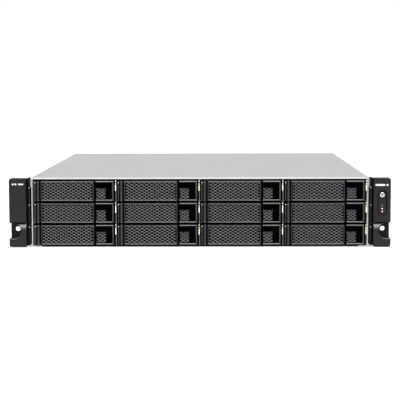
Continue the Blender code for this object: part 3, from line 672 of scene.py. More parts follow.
def add_light_guides():
    """Frosted guides on the divider beside each tray, which show the drive's state."""
    half_pitch = (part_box("tray_r1c2")[0].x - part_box("tray_r1c1")[0].x) / 2
    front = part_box("drive_cage")[0].y
    shape = Shape()
    for z, length in ((0.0165, 0.007), (0.0215, 0.0016), (0.025, 0.0012)):
        outline = rectangle((-0.00034, z - length / 2), (0.00034, z + length / 2), 0.0003)
        shape.plate(outline, -0.0012, 0.001, "Y", edge=0.0002)
    mesh = shape.mesh("light_guide", finishes("guide"))
    for bay in BAYS:
        origin = tray_origin(bay)
        side = half_pitch - (0.0008 if bay.endswith("c4") else 0.0007)
        piece(f"light_guide_{bay}", mesh, "chassis", (origin.x + side, front, origin.z))


# ---- Ears ----


def recede(shape, start, end, depth, front):
    """Slopes a front face back between two heights, so that it faces up as it meets the seam."""
    for i in range(1, 9):
        plane = Vector((0, 0, start + (end - start) * i / 9))
        everything = shape.bm.verts[:] + shape.bm.edges[:] + shape.bm.faces[:]
        bmesh.ops.bisect_plane(shape.bm, geom=everything, plane_co=plane, plane_no=(0, 0, 1))
    for vert in shape.bm.verts:
        share = (vert.co.z - start) / (end - start)
        if vert.co.y < front + 0.004 and share > 0:
            vert.co.y += depth * min(share, 1) ** 2


def pill(half, drop, radius):
    """An upright outline with round ends: half its width round the button, and a drop below it."""
    return rectangle((BUTTON.x - half, BUTTON.z - drop), (BUTTON.x + half, BUTTON.z + half), radius, 10)


def round_button(radius, sides):
    return ring((BUTTON.x, BUTTON.z), radius, sides)


def ear_shape(side):
    """A moulded ear for the right side, or mirrored: an upper cover, and a lower part round the screw."""
    low, high = EAR_LOW, EAR_HIGH
    seam = 0.0306
    shape = Shape()
    half_turn = [math.radians(90 + 9 * i) for i in range(21)]
    scoop = [(SCOOP.x + SCOOP_RADIUS * math.cos(t), SCOOP.y + SCOOP_RADIUS * math.sin(t)) for t in half_turn]
    block_top = SCOOP.y - SCOOP_RADIUS
    corners = [(low.x, seam, 0), (low.x, low.z, 0.0016), (high.x, low.z, 0.0026), (high.x, block_top, 0.0008)]
    shape.plate(rounded(corners) + scoop[::-1], low.y, high.y, edge=0.0007, steps=3, slot=1)
    slope_start, slope_depth = 0.0195, 0.0038
    recede(shape, slope_start, seam, slope_depth, low.y)
    corners = [(low.x, seam + 0.0003, 0.0003), (high.x, seam + 0.0003, 0.0006), (high.x, high.z, 0.003)]
    upper = rounded(corners + [(low.x, high.z, 0.0016)], 6)
    holes = [pill(0.0056, 0.0262, 0.0055)] if side > 0 else []
    shape.plate(upper, low.y, high.y, holes=holes, edge=0.0009, steps=4)
    return shape if side > 0 else shape.mirrored()


def control_panel_mesh():
    """The sunk panel inside the right ear's opening, with a ring round the button and three lamp holes."""
    shape = Shape()
    front = EAR_LOW.y + 0.0012
    lamps = [(BUTTON.x, BUTTON.z - drop) for drop in (0.0139, 0.0176, 0.0213)]
    holes = [round_button(0.0035, 32)] + [ring(lamp, 0.0006, 16) for lamp in lamps]
    shape.plate(pill(0.0048, 0.0254, 0.0047), front, front + 0.004, holes=holes, edge=0.0002, wall=4)
    # The groove round it; it and the panel's walls are in the near-black pocket finish, painted shade.
    groove, opening = pill(0.0057, 0.0263, 0.0056), round_button(0.0045, 32)
    shape.plate(groove, front + 0.002, front + 0.005, holes=[opening], edge=0.0002, slot=4)
    collar, opening = round_button(0.0043, 40), round_button(0.0034, 40)
    shape.plate(collar, front - 0.0006, front + 0.001, holes=[opening], edge=0.0002, steps=2)
    # The top lamp's lens is unlit but glows faintly, painted light; the two below are lit.
    for slot, (x, z) in zip((1, 2, 2), lamps):
        shape.rod((x, front + 0.0012, z), 0.00055, 0.003, "Y", 0.0002, slot=slot, sides=16)
    # Rings round the two lit lamps, with a faint painted amber halo.
    for lamp in lamps[1:]:
        bezel, hole = ring(lamp, 0.0012), ring(lamp, 0.0007)
        shape.plate(bezel, front - 0.0002, front + 0.0006, holes=[hole], edge=0.0001, slot=3)
    return shape.mesh("control_panel", finishes("ear", "dim_lens", "lens", "amber", "pocket"))


def button_mesh():
    """The power button: a domed metal cap with a dark ring mark, on a wider foot."""
    low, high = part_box("power_button")
    front, radius = low.y, 0.0032
    shape = Shape()
    shape.plate(round_button(radius, 40), front + 0.0002, front + 0.0036, edge=0.0008, steps=5)
    hole = round_button(0.001, 32)
    shape.plate(round_button(0.0016, 32), front, front + 0.0005, holes=[hole], edge=0.0001, slot=1)
    stroke = rectangle((BUTTON.x - 0.0003, BUTTON.z), (BUTTON.x + 0.0003, BUTTON.z + 0.002), 0.0002)
    shape.plate(stroke, front, front + 0.0005, edge=0.00005, slot=1)
    shape.plate(round_button(radius + 0.0008, 32), front + 0.0036, high.y, edge=0.0002)
    return shape.mesh("power_button", finishes("button", "dark"))


def mark_mesh(side):
    """A plain printed bar and dots in place of any name."""
    front, back = EAR_LOW.y - 0.0001, EAR_LOW.y + 0.0004
    middle = (EAR_LOW.x + EAR_HIGH.x) / 2
    if side > 0:
        height, bars, dots, thick, radius = 0.0786, [(-0.009, 0.0034)], [0.0062], 0.0012, 0.0013
    else:
        height, bars, dots, thick, radius = 0.08, [(-0.0078, -0.001)], [0.0022, 0.0056], 0.0009, 0.0012
    shape = Shape()
    for start, end in bars:
        outline = rectangle((middle + start, height - thick), (middle + end, height + thick), thick * 0.9)
        shape.plate(outline, front, back, edge=0.00004)
    for x in dots:
        shape.plate(ring((middle + x, height), radius, 20), front, back, edge=0.00004)
    return (shape if side > 0 else shape.mirrored()).mesh("printed_mark", finishes("mark"))


def add_ears():
    for side, name in ((-1, "left"), (1, "right")):
        mesh = ear_shape(side).mesh(f"{name}_ear", finishes("ear", "ear_foot"), 40)
        piece(f"{name}_ear_cover", mesh, "chassis", stands_for=[f"{name}_ear_bezel"])
        piece(f"{name}_ear_mark", mark_mesh(side), "chassis")
    piece("control_panel", control_panel_mesh(), "chassis")
    piece("power_button_cap", button_mesh(), "power_button", stands_for=["power_button"])


# ---- Sheet metal ----


def folded_sheet(low, high, open_sides, sheet, bend):
    """A box of sheet metal without its open sides, its bends rounded."""
    bm = cube_between(low, high)
    gone = [face for face in bm.faces if any(face.normal.dot(Vector(side)) > 0.9 for side in open_sides)]
    bmesh.ops.delete(bm, geom=gone, context="FACES")
    round_edges(bm, [edge for edge in bm.edges if not edge.is_boundary], bend, 6)
    mesh = bpy.data.meshes.new("sheet")
    bm.to_mesh(mesh)
    bm.free()
    obj = new_object("sheet", mesh)
    solidify = obj.modifiers.new("sheet", "SOLIDIFY")
    solidify.thickness = sheet
    solidify.offset = -1
    solidify.use_even_offset = True
    obj.data = evaluated_mesh(obj)
    obj.modifiers.clear()
    return obj


def carve(obj, cutters):
    """Cuts boxes, given by their corners, from an object."""
    shape = Shape()
    for low, high in cutters:
        shape.box(low, high, edge=0)
    cutter = new_object("cutter", shape.mesh("cutter", []))
    boolean = obj.modifiers.new("cut", "BOOLEAN")
    boolean.operation = "DIFFERENCE"
    boolean.solver = "EXACT"
    boolean.use_self = True
    boolean.object = cutter
    obj.data = evaluated_mesh(obj)
    obj.modifiers.clear()
    bpy.data.objects.remove(cutter)
    return obj


def cover_mesh(node, lip_y, lip, open_side):
    """A folded cover with a short lip at one end, trimmed to clear the pan's walls."""
    low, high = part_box(node)
    sheet = 0.001
    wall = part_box("rear_panel")[1].x + 0.0017
    obj = folded_sheet(low, high, [(0, 0, -1), open_side], sheet, 0.0016)
    front, back = lip_y - 0.003, lip_y + 0.003
    inside = wall - 0.002
    cutters = [((-inside, front, low.z - 0.01), (inside, back, high.z - lip))]
    for side in (-1, 1):
        near, far = sorted((side * (wall - 0.0018), side * (wall + 0.00005)))
        cutters.append(((near, front, low.z - 0.01), (far, back, high.z - sheet - 0.0001)))
    carve(obj, cutters)
    mesh = obj.data
    bpy.data.objects.remove(obj)
    mesh.materials.clear()
    mesh.materials.append(MATERIALS["silver"])
    mesh.shade_smooth()
    mesh.set_sharp_from_angle(angle=math.radians(40))
    return mesh


def screw(shape, centre, direction, radius=0.0026, slot=0):
    """A pan-head screw with a cross recess, its head standing along a direction: +X, -X or +Y."""
    arm, width = radius * 0.62, radius * 0.17
    cross = []
    for quarter in range(4):
        turn = math.radians(90 * quarter)
        for a, b in ((arm, -width), (arm, width), (width, width)):
            cross.append((a * math.cos(turn) - b * math.sin(turn), a * math.sin(turn) + b * math.cos(turn)))
    axis = direction[1]
    sign = 1 if direction[0] == "+" else -1
    across = {"X": (centre[1], centre[2]), "Y": (centre[0], centre[2])}[axis]
    base = centre[0] if axis == "X" else centre[1]
    cross = [(x + across[0], y + across[1]) for x, y in cross]
    ends = sorted((base - sign * 0.0002, base + sign * 0.00045))
    shape.plate(ring(across, radius, 28), *ends, axis, edge=0.0001, slot=slot)
    ends = sorted((base + sign * 0.0003, base + sign * 0.0012))
    shape.plate(ring(across, radius, 28), *ends, axis, [cross], 0.0003, 2, slot)


def add_covers():
    front_low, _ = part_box("front_top_plate")
    _, rear_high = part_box("rear_cover")
    plate = cover_mesh("front_top_plate", front_low.y, FRONT_LIP, (0, 1, 0))
    piece("front_top_sheet", plate, "chassis", stands_for=["front_top_plate"])
    cover = cover_mesh("rear_cover", rear_high.y, REAR_LIP, (0, -1, 0))
    piece("rear_cover_sheet", cover, "rear_cover", stands_for=["rear_cover"])
    side = rear_high.x
    fixed, lifting = Shape(), Shape()
    for sign, direction in ((-1, "-X"), (1, "+X")):
        for y in (0.071, 0.126):
            screw(fixed, (sign * side, y, HEIGHT - COVER_SCREW_DROP), direction, 0.0022)
        for y in (0.176, 0.326, 0.476):
            screw(lifting, (sign * side, y, HEIGHT - COVER_SCREW_DROP), direction, 0.0022)
    piece("front_plate_screws", fixed.mesh("screws", finishes("screw")), "chassis")
    piece("rear_cover_screws", lifting.mesh("screws", finishes("screw")), "rear_cover")


def add_side_hardware():
    """Rivets and bracket screws on the side walls, and small studs on the brackets' front edges."""
    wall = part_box("rear_panel")[1].x + 0.00155
    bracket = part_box("right_ear_bracket")
    leg = 0.2174
    rivets, screws = Shape(), Shape()
    for sign, direction in ((-1, "-X"), (1, "+X")):
        for y in (0.162, 0.196, 0.301, 0.396, 0.501):
            for z in (0.012, 0.066):
                rivets.rod((sign * wall, y, z), 0.0022, 0.001, "X", 0.00035, sides=20)
        for y in (0.014, 0.042):
            for z in (0.016, 0.064):
                screw(screws, (sign * leg, y, z), direction, 0.003)
        for z in (0.0247, 0.0527, 0.0748):
            screws.rod((sign * (leg - 0.0008), bracket[0].y, z), 0.0008, 0.0008, "Y", 0.0002, sides=12)
    piece("wall_rivets", rivets.mesh("rivets", finishes("zinc")), "chassis")
    piece("bracket_screws", screws.mesh("bracket_screws", finishes("screw")), "chassis")


# ---- Back ----

# Sockets from left to right on the board: left edge, width, height above the board, and kind.
SOCKETS = (
    (-0.152, 0.015, 0.016, "usb"),
    (-0.134, 0.032, 0.0135, "network pair"),
    (-0.099, 0.032, 0.0135, "network pair"),
    (-0.064, 0.016, 0.0105, "optical"),
    (-0.045, 0.016, 0.0105, "optical"),
)
BOARD_LOW, BOARD_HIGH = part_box("motherboard")
BOARD_TOP = BOARD_LOW.z + 0.0016
CARD_X = (0.0398, 0.0601, 0.0804)  # the middles of the three card slots

# The large honeycomb vents in the back wall, and the fine ones in card covers and power modules.
VENT_STEP_X, VENT_STEP_Z, VENT_RADIUS = 0.0052, 0.006, 0.0027
FINE_STEP_X, FINE_STEP_Z = 0.0034, 0.0039


def socket_openings():
    """Every socket's mouths: (kind, low corner, high corner) in x and z."""
    mouths = []
    for x, width, height, kind in SOCKETS:
        z = BOARD_TOP
        if kind == "usb":
            for low in (0.0018, 0.0094):
                mouths.append((kind, (x + 0.001, z + low), (x + 0.014, z + low + 0.0052)))
        elif kind == "optical":
            mouths.append((kind, (x + 0.0008, z + 0.0008), (x + width - 0.0008, z + height - 0.001)))
        else:
            for shift in (0.0026, 0.0174):
                mouths.append(("network", (x + shift, z + 0.0016), (x + shift + 0.012, z + 0.011)))
    return mouths


def rear_panel_mesh():
    """The back wall, with honeycomb vents, a supply opening, a socket opening and three card slots."""
    low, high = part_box("rear_panel")
    shape = Shape()
    start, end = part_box("psu_lower")[0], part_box("psu_upper")[1]
    supplies = rectangle((start.x - 0.001, start.z - 0.0008), (end.x + 0.001, end.z + 0.0006))
    sockets = rectangle((-0.156, 0.0095), (-0.02, 0.03), 0.0005)
    cards = [rectangle((x - 0.006, 0.014), (x + 0.006, 0.074), 0.0004) for x in CARD_X]
    vents = []
    fields = (-0.158, 0.044, -0.014, 0.08), (-0.207, 0.008, -0.168, 0.08), (0.096, 0.01, 0.126, 0.078)
    for left, foot, right, top in fields:
        vents += honeycomb((left, foot), (right, top), VENT_STEP_X, VENT_STEP_Z, VENT_RADIUS)
    outer = rectangle((low.x, low.z), (high.x, high.z))
    shape.plate(outer, low.y, high.y, holes=[supplies, sockets, *cards, *vents], edge=0.00012)
    for x in CARD_X:
        cover_vents = honeycomb((x - 0.006, 0.02), (x + 0.006, 0.066), FINE_STEP_X, FINE_STEP_Z, 0.0016)
        outline = rectangle((x - 0.0082, 0.011), (x + 0.0082, 0.079), 0.0008)
        shape.plate(outline, high.y + 0.0001, high.y + 0.001, holes=cover_vents, edge=0.0002, slot=1)
        screw(shape, (x, high.y + 0.001, 0.076), "+Y", 0.0022, 1)
    for x in (-0.196, -0.08, 0.11):
        screw(shape, (x, high.y, 0.083), "+Y", 0.0022, 1)
    return shape.mesh("rear_panel", finishes("zinc", "screw"))


def sockets_mesh():
    """The shield and the sockets behind it: metal shells, dark mouths, tongues and contacts."""
    shape = Shape()
    mouths = socket_openings()
    back = REAR - 0.0225
    shield = rectangle((-0.1575, 0.0088), (-0.0185, 0.0308), 0.0006)
    openings = [rectangle(low, high, 0.0005) for _, low, high in mouths]
    shape.plate(shield, REAR + 0.0001, REAR + 0.0006, holes=openings, edge=0.0001)
    for x, width, height, _ in SOCKETS:
        own = [mouth for mouth in mouths if x <= mouth[1][0] and mouth[2][0] <= x + width]
        inside = [rectangle(low, high, 0.0004) for _, low, high in own]
        body = rectangle((x, BOARD_TOP), (x + width, BOARD_TOP + height), 0.0006)
        shape.plate(body, back + 0.004, REAR, holes=inside, edge=0.0002)
        shape.box((x, back, BOARD_TOP), (x + width, back + 0.0042, BOARD_TOP + height), slot=1)
    for kind, (left, foot), (right, top) in mouths:
        if kind == "usb":
            middle = (foot + top) / 2
            tongue = (left + 0.0012, back + 0.004, middle)
            shape.box(tongue, (right - 0.0012, REAR - 0.001, middle + 0.0018), slot=3)
        elif kind == "network":
            for i in range(8):
                place = (left + 0.0024 + 0.00103 * i, REAR - 0.006, top - 0.0016)
                tilt = Matrix.Translation(place) @ Matrix.Rotation(-0.5, 4, "X")
                shape.box((-0.00022, -0.0035, -0.0002), (0.00022, 0.0035, 0.0002), 0.0001, slot=2, turn=tilt)
            for x in (left + 0.0012, right - 0.0012):
                shape.rod((x, REAR - 0.0002, top + 0.0012), 0.0006, 0.0012, "Y", 0.0002, slot=4, sides=10)
        else:
            shelf = (left + 0.002, back + 0.004, foot + 0.001)
            shape.box(shelf, (right - 0.002, REAR - 0.006, foot + 0.0025), slot=1)
    return shape.mesh("sockets", finishes("bright_zinc", "socket", "gold", "blue", "green_lamp"))


def supply_mesh(node):
    """A power module: sheet case, vented back with a guarded fan, mains inlet, pull handle and a lamp."""
    low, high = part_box(node)
    left, right, bottom, top = low.x, high.x, low.z, high.z
    middle = (left + right) / 2
    shape = Shape()

    def at(x, z):
        """A place on the back wall, from the module's middle and underside."""
        return middle + x, bottom + z

    def spot(x, y, z):
        return middle + x, REAR + y, bottom + z

    def over_fan(x, z):
        return (Vector((x, z)) - fan).length < 0.017

    shape.box((left, low.y + 0.01, bottom), (right, REAR - 0.006, top), 0.0008, steps=3)
    inlet = rectangle(at(-0.0345, 0.009), at(-0.0085, 0.0305), 0.0015)
    notch = rectangle(at(0.0275, 0.01), (right - 0.0006, bottom + 0.0295), 0.0008)
    fan = Vector(at(0.0085, 0.01975))
    start, end = (fan.x - 0.0165, bottom + 0.002), (fan.x + 0.0165, top - 0.002)
    vents = honeycomb(start, end, FINE_STEP_X, FINE_STEP_Z, 0.00165, keep=over_fan)
    face = rectangle((left, bottom), (right, top), 0.0008)
    shape.plate(face, REAR - 0.0012, REAR, holes=[inlet, notch, *vents], edge=0.00015)
    rim = rectangle((left + 0.0009, bottom + 0.0009), (right - 0.0009, top - 0.0009), 0.0006)
    shape.plate(face, REAR - 0.0062, REAR - 0.001, holes=[rim], edge=0.0001)
    shape.rod((fan.x, REAR - 0.005, fan.y), 0.0075, 0.003, "Y", 0.0004, slot=1, sides=32)
    # Mains inlet: a black shroud with a hexagonal plug well and three blades.
    corners = [(-0.0335, 0.0115), (-0.0095, 0.0115), (-0.0095, 0.022)]
    corners += [(-0.014, 0.0275), (-0.029, 0.0275), (-0.0335, 0.022)]
    well = rounded([(*at(x, z), 0.001) for x, z in corners])
    shroud = rectangle(at(-0.0342, 0.0093), at(-0.0088, 0.0302), 0.0013)
    shape.plate(shroud, REAR - 0.0055, REAR + 0.0012, holes=[well], edge=0.0003, steps=2, slot=1)
    shape.plate(shroud, REAR - 0.006, REAR - 0.0052, edge=0.0001, slot=1)
    for x, z in ((-0.0285, 0.016), (-0.0215, 0.0215), (-0.0145, 0.016)):
        blade = spot(x - 0.0008, -0.0055, z - 0.002)
        shape.box(blade, spot(x + 0.0008, -0.0002, z + 0.002), 0.0003, slot=2)
    # Pull handle: a flat bar bent twice, wide enough for two fingers.
    foot, end, bar, width = REAR - 0.0005, high.y, 0.0028, 0.016
    x0, x1, z0 = middle - 0.006, middle + 0.024, bottom + 0.0117
    bent = [(x0, foot, 0), (x0, end, 0.0035), (x1, end, 0.0035), (x1, foot, 0), (x1 - bar, foot, 0)]
    bent += [(x1 - bar, end - bar, 0.0012), (x0 + bar, end - bar, 0.0012), (x0 + bar, foot, 0)]
    shape.plate(rounded(bent, 6), z0, z0 + width, "Z", edge=0.0006, steps=2, slot=1)
    shape.rod(spot(0.0292, 0, 0.0345), 0.001, 0.0016, "Y", 0.0003, slot=3, sides=16)
    # Edge connector with its contacts, and case screws.
    board = (middle - 0.022, low.y, bottom + 0.016)
    shape.box(board, (middle + 0.022, low.y + 0.011, bottom + 0.0176), 0.0002, slot=4)
    for i in range(22):
        x = middle - 0.0205 + 0.00195 * i
        contact = (x - 0.0006, low.y + 0.0006, bottom + 0.0158)
        shape.box(contact, (x + 0.0006, low.y + 0.0075, bottom + 0.0178), 0.00005, slot=2)
    for x in (left + 0.006, right - 0.006):
        for y in (low.y + 0.02, REAR - 0.02):
            shape.rod((x, y, top), 0.0018, 0.0003, "Z", 0.0001, sides=16)
    return shape.mesh("power_module", finishes("zinc", "socket", "gold", "green_lamp", "board"))


def lever_mesh(node):
    """The release lever: a ribbed thumb tab on a round pivot."""
    low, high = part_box(node)
    middle, height = (low.z + high.z) / 2, high.z - low.z
    x = (low.x + high.x) / 2
    pivot_y = low.y + 0.0016
    shape = Shape()
    shape.rod((x, pivot_y, middle), 0.0016, height, "Z", 0.0003)
    shape.box((x - 0.0009, pivot_y, middle - 0.0075), (x + 0.0009, high.y, middle + 0.0075), 0.0006, steps=3)
    for i in range(5):
        y = high.y - 0.0018 - 0.0017 * i
        rib = (x - 0.0011, y - 0.0004, middle - 0.0062)
        shape.box(rib, (x + 0.0011, y + 0.0004, middle + 0.0062), 0.0002)
    return shape.mesh("release_lever", finishes("lever"))


def add_back():
    piece("rear_wall", rear_panel_mesh(), "chassis", stands_for=["rear_panel"])
    piece("rear_sockets", sockets_mesh(), "chassis")
    for level in ("lower", "upper"):
        node = f"psu_{level}"
        piece(f"{node}_module", supply_mesh(node), node, stands_for=[node])
        lever = f"{node}_lever"
        piece(f"{lever}_tab", lever_mesh(lever), lever, stands_for=[lever])


# ---- Inside ----


def board_mesh():
    """The main board with its chips, sockets, coils, capacitors and plugs."""
    low, high = BOARD_LOW, BOARD_HIGH
    top = BOARD_TOP
    back = REAR - 0.006
    shape = Shape()
    holes = [ring((x, y), 0.0018, 16) for x in (-0.158, -0.04, 0.088) for y in (0.263, 0.486)]
    shape.plate(rectangle((low.x, low.y), (high.x, back), 0.001), low.z, top, "Z", holes, 0.0001)
    sink = rectangle((-0.095, 0.331), (-0.05, 0.376), 0.002)
    shape.plate(sink, top, top + 0.004, "Z", edge=0.0004, slot=2)
    for x in (0.000, 0.0105):
        shape.box((x, 0.306, top - 0.0002), (x + 0.0065, 0.448, top + 0.0075), slot=1)
        for y in (0.305, 0.449):
            shape.box((x + 0.0008, y - 0.003, top), (x + 0.0057, y + 0.003, top + 0.012), 0.0006, slot=3)
    for x in CARD_X:
        shape.box((x - 0.0038, 0.376, top - 0.0002), (x + 0.0037, 0.466, top + 0.011), slot=1)
        shape.box((x - 0.0006, 0.3775, top + 0.0085), (x + 0.0006, 0.4645, top + 0.0111), 0.0001, slot=2)
    chips = ((-0.135, 0.286, 0.025), (0.04, 0.316, 0.022), (-0.12, 0.436, 0.014), (-0.075, 0.446, 0.012))
    for x, y, size in chips:
        shape.box((x, y, top), (x + size, y + size, top + 0.0022), 0.0003, slot=4)
    for i in range(9):
        x = -0.1 + 0.0095 * i
        shape.box((x, 0.284, top), (x + 0.0075, 0.2915, top + 0.006), 0.0008, slot=1)
        shape.rod((x + 0.0038, 0.3, top + 0.004), 0.0031, 0.008, "Z", 0.0005, slot=2)
    for i in range(8):
        x = -0.158 + 0.0062 * (i % 4)
        y = 0.346 + 0.0085 * (i // 4)
        shape.rod((x, y, top + 0.003), 0.0022, 0.006, "Z", 0.0004, slot=2, sides=18)
    for i in range(6):
        x = 0.028 + 0.0105 * i
        shape.box((x, 0.26, top), (x + 0.0085, 0.272, top + 0.0075), 0.0005, slot=1)
    shape.box((-0.03, 0.258, top), (0.021, 0.266, top + 0.01), 0.0005, slot=3)
    for i in range(70):
        x = low.x + 0.008 + (high.x - low.x - 0.018) * ((i * 0.6180339) % 1)
        y = 0.316 + 0.165 * ((i * 0.7548777) % 1)
        clear = not (-0.116 < x < -0.028 and 0.306 < y < 0.401)
        if clear and not -0.002 < x < 0.019 and not (0.034 < x < 0.086 and y > 0.372):
            length = 0.0011 + 0.0012 * (i % 3)
            shape.box((x, y, top), (x + length, y + 0.001, top + 0.0008), 0.0001, slot=4, steps=1)
    return shape.mesh("main_board", finishes("board", "socket", "aluminium", "mark", "chip"))


def memory_mesh():
    low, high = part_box("memory_module")
    middle = (low.x + high.x) / 2
    shape = Shape()
    card = [
        (low.y, low.z, 0), (low.y + 0.07, low.z, 0), (low.y + 0.071, low.z + 0.0025, 0),
        (low.y + 0.072, low.z, 0), (high.y, low.z, 0), (high.y, high.z, 0.0012), (low.y, high.z, 0.0012),
    ]
    shape.plate(rounded(card), middle - 0.0006, middle + 0.0006, "X", edge=0.0001)
    for side in (-1, 1):
        for i in range(8):
            y = low.y + 0.0085 + 0.0152 * i
            near, far = sorted((middle + side * 0.0005, middle + side * 0.00155))
            shape.box((near, y, low.z + 0.009), (far, y + 0.0105, low.z + 0.02), 0.0002, slot=1)
        for i in range(44):
            y = low.y + 0.003 + 0.00292 * i
            near, far = sorted((middle + side * 0.00055, middle + side * 0.00068))
            shape.box((near, y, low.z + 0.0004), (far, y + 0.0018, low.z + 0.0028), 0, slot=2)
    return shape.mesh("memory_module", finishes("board", "chip", "gold"))


def rotor_mesh(node, finish="fan"):
    """A fan rotor: cupped hub, seven swept and twisted blades, and its shaft."""
    low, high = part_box(node)
    centre = Vector(((low.x + high.x) / 2, 0, (low.z + high.z) / 2))
    hub, tip = 0.0165, 0.036
    front, back = low.y + 0.001, 0.0315
    shape = Shape()
    shape.plate(ring((centre.x, centre.z), hub, 40), low.y + 0.0005, low.y + 0.0295, edge=0.0016, steps=3)
    shape.rod((centre.x, high.y - 0.005, centre.z), 0.002, 0.01, "Y", 0.0003, slot=1)
    radial, chord = 7, 9
    for blade in range(7):
        part = bmesh.new()
        rows = []
        for i in range(radial + 1):
            share = i / radial
            radius = hub - 0.001 + (tip - hub + 0.001) * share
            width = 0.42 + 0.3 * share
            rows.append([])
            for j in range(chord + 1):
                along = j / chord
                angle = math.tau * blade / 7 + 0.35 * share**1.5 + width * (along - 0.5)
                y = front + back * (0.16 + 0.68 * along - 0.05 * math.sin(math.pi * along))
                point = (centre.x + radius * math.cos(angle), y, centre.z + radius * math.sin(angle))
                rows[-1].append(part.verts.new(point))
        for i in range(radial):
            for j in range(chord):
                part.faces.new((rows[i][j], rows[i][j + 1], rows[i + 1][j + 1], rows[i + 1][j]))
        bmesh.ops.recalc_face_normals(part, faces=part.faces)
        bmesh.ops.solidify(part, geom=part.faces[:], thickness=0.0011)
        shape.add(part)
    return shape.mesh("fan_rotor", finishes(finish, "steel_pin"), 40)


def fan_frame_mesh(node):
    """A fan's square housing with flanges at both ends, corner holes, and curved struts to the motor seat."""
    low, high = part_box(node)
    x, z = (low.x + high.x) / 2, (low.z + high.z) / 2
    bore = 0.038
    shape = Shape()
    corners = [ring((x + a * 0.0357, z + b * 0.0357), 0.0022, 16) for a in (-1, 1) for b in (-1, 1)]
    outer = rectangle((low.x, low.z), (high.x, high.z), 0.004, 5)
    for start, end in ((low.y, low.y + 0.0042), (high.y - 0.0042, high.y)):
        shape.plate(outer, start, end, holes=[ring((x, z), bore, 56), *corners], edge=0.0004)
    barrel = ring((x, z), bore + 0.0017, 56)
    shape.plate(barrel, low.y + 0.0035, high.y - 0.0035, holes=[ring((x, z), bore, 56)], edge=0.0001)
    shape.plate(ring((x, z), 0.0165, 40), high.y - 0.003, high.y - 0.0004, edge=0.0006)
    for i in range(6):
        middle = Matrix.Translation((x, high.y - 0.0016, z)) @ Matrix.Rotation(math.tau * i / 6 + 0.3, 4, "Y")
        shape.box((0.015, -0.0012, -0.0012), (bore + 0.0012, 0.0012, 0.0012), 0.0004, turn=middle)
    return shape.mesh("fan_frame", finishes("fan"))


def cable(name, points, radius):
    """A sleeved cable through its points, as a smooth tube."""
    curve = bpy.data.curves.new(name, "CURVE")
    curve.dimensions = "3D"
    curve.bevel_depth = radius
    curve.bevel_resolution = 3
    curve.resolution_u = 8
    curve.use_fill_caps = True
    spline = curve.splines.new("BEZIER")
    spline.bezier_points.add(len(points) - 1)
    for point, place in zip(spline.bezier_points, points):
        point.co = place
        point.handle_left_type = point.handle_right_type = "AUTO"
    tube = new_object(name, curve)
    mesh = evaluated_mesh(tube)
    bpy.data.objects.remove(tube)
    mesh.materials.clear()
    mesh.materials.append(MATERIALS["sleeve"])
    mesh.shade_smooth()
    return piece(name, mesh, "chassis")


def backplane_mesh():
    """The drive backplane: a board with air openings, a connector for each bay, and plugs behind."""
    low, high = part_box("backplane_board")
    board = high.y - 0.002
    shape = Shape()
    places = [tray_origin(bay) for bay in BAYS]
    air = [rectangle((at.x - 0.04, at.z + 0.0125), (at.x + 0.04, at.z + 0.0235), 0.0015) for at in places]
    shape.plate(rectangle((low.x, low.z), (high.x, high.z), 0.001), board, high.y, holes=air, edge=0.0001)
    for at in places:
        near, far = (at.x - 0.034, low.y, at.z + 0.0035), (at.x + 0.01, board + 0.0002, at.z + 0.0095)
        shape.box(near, far, 0.0004, slot=1)
        near, far = (at.x - 0.03, low.y - 0.0003, at.z + 0.0058), (at.x - 0.004, low.y + 0.001, at.z + 0.0072)
        shape.box(near, far, 0.0001, slot=2)
    for x in (-0.15, -0.095, 0.02, 0.13):
        shape.box((x - 0.011, high.y - 0.0002, 0.027), (x + 0.011, high.y + 0.006, 0.0335), 0.0005, slot=3)
    return shape.mesh("drive_backplane", finishes("board", "socket", "gold", "mark"))


def add_front_strips():
    """Near-black strips that paint shade at the front: one along the pan's floor edge, and one behind the
    cover's lip over each column.
    """
    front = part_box("chassis_pan")[0].y
    shape = Shape()
    shape.box((-0.2008, front + 0.0002, 0.0002), (0.2008, front + 0.0098, 0.0016), 0.0004)
    top = tray_origin("r1c1").z + TRAY_HEIGHT
    for column in COLUMNS:
        x = tray_origin(f"r1c{column}").x
        near, far = (x - 0.0518, front + 0.0014, top + 0.0002), (x + 0.0518, front + 0.0034, HEIGHT - 0.0012)
        shape.box(near, far, 0.0002)
    piece("front_strips", shape.mesh("front_strips", finishes("pocket")), "chassis")


def add_inside():
    piece("main_board_assembly", board_mesh(), "chassis", stands_for=["motherboard"])
    piece("memory_stick", memory_mesh(), "chassis", stands_for=["memory_module"])
    piece("drive_backplane", backplane_mesh(), "chassis", stands_for=["backplane_board"])
    for number in (1, 2):
        rotor, housing = f"fan_rotor_{number}", f"fan_frame_{number}"
        piece(f"{rotor}_blades", rotor_mesh(rotor), rotor, stands_for=[rotor])
        piece(f"{housing}_housing", fan_frame_mesh(housing), "chassis", stands_for=[housing])
    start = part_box("psu_cage")[0]
    for i in range(4):
        x, z = start.x - 0.004 - 0.0035 * i, 0.014 + 0.003 * (i % 2)
        end = 0.0325 + 0.0105 * i
        points = [(x, 0.346, z), (x, 0.301, z + 0.002), (end + 0.02, 0.278, 0.03), (end, 0.266, 0.019)]
        cable(f"power_cable_{i + 1}", points, 0.0016)
    for i, x in enumerate((0.135, 0.146, 0.157)):
        low_z = 0.026 + 0.006 * i
        start, end = 0.125 + 0.004 * i, 0.01 - 0.012 * i
        points = [(start, 0.172, 0.031), (x, 0.188, low_z), (x, 0.231, low_z)]
        points += [(0.1 - 0.02 * i, 0.252, 0.026), (end, 0.262, 0.022)]
        cable(f"drive_cable_{i + 1}", points, 0.0018)


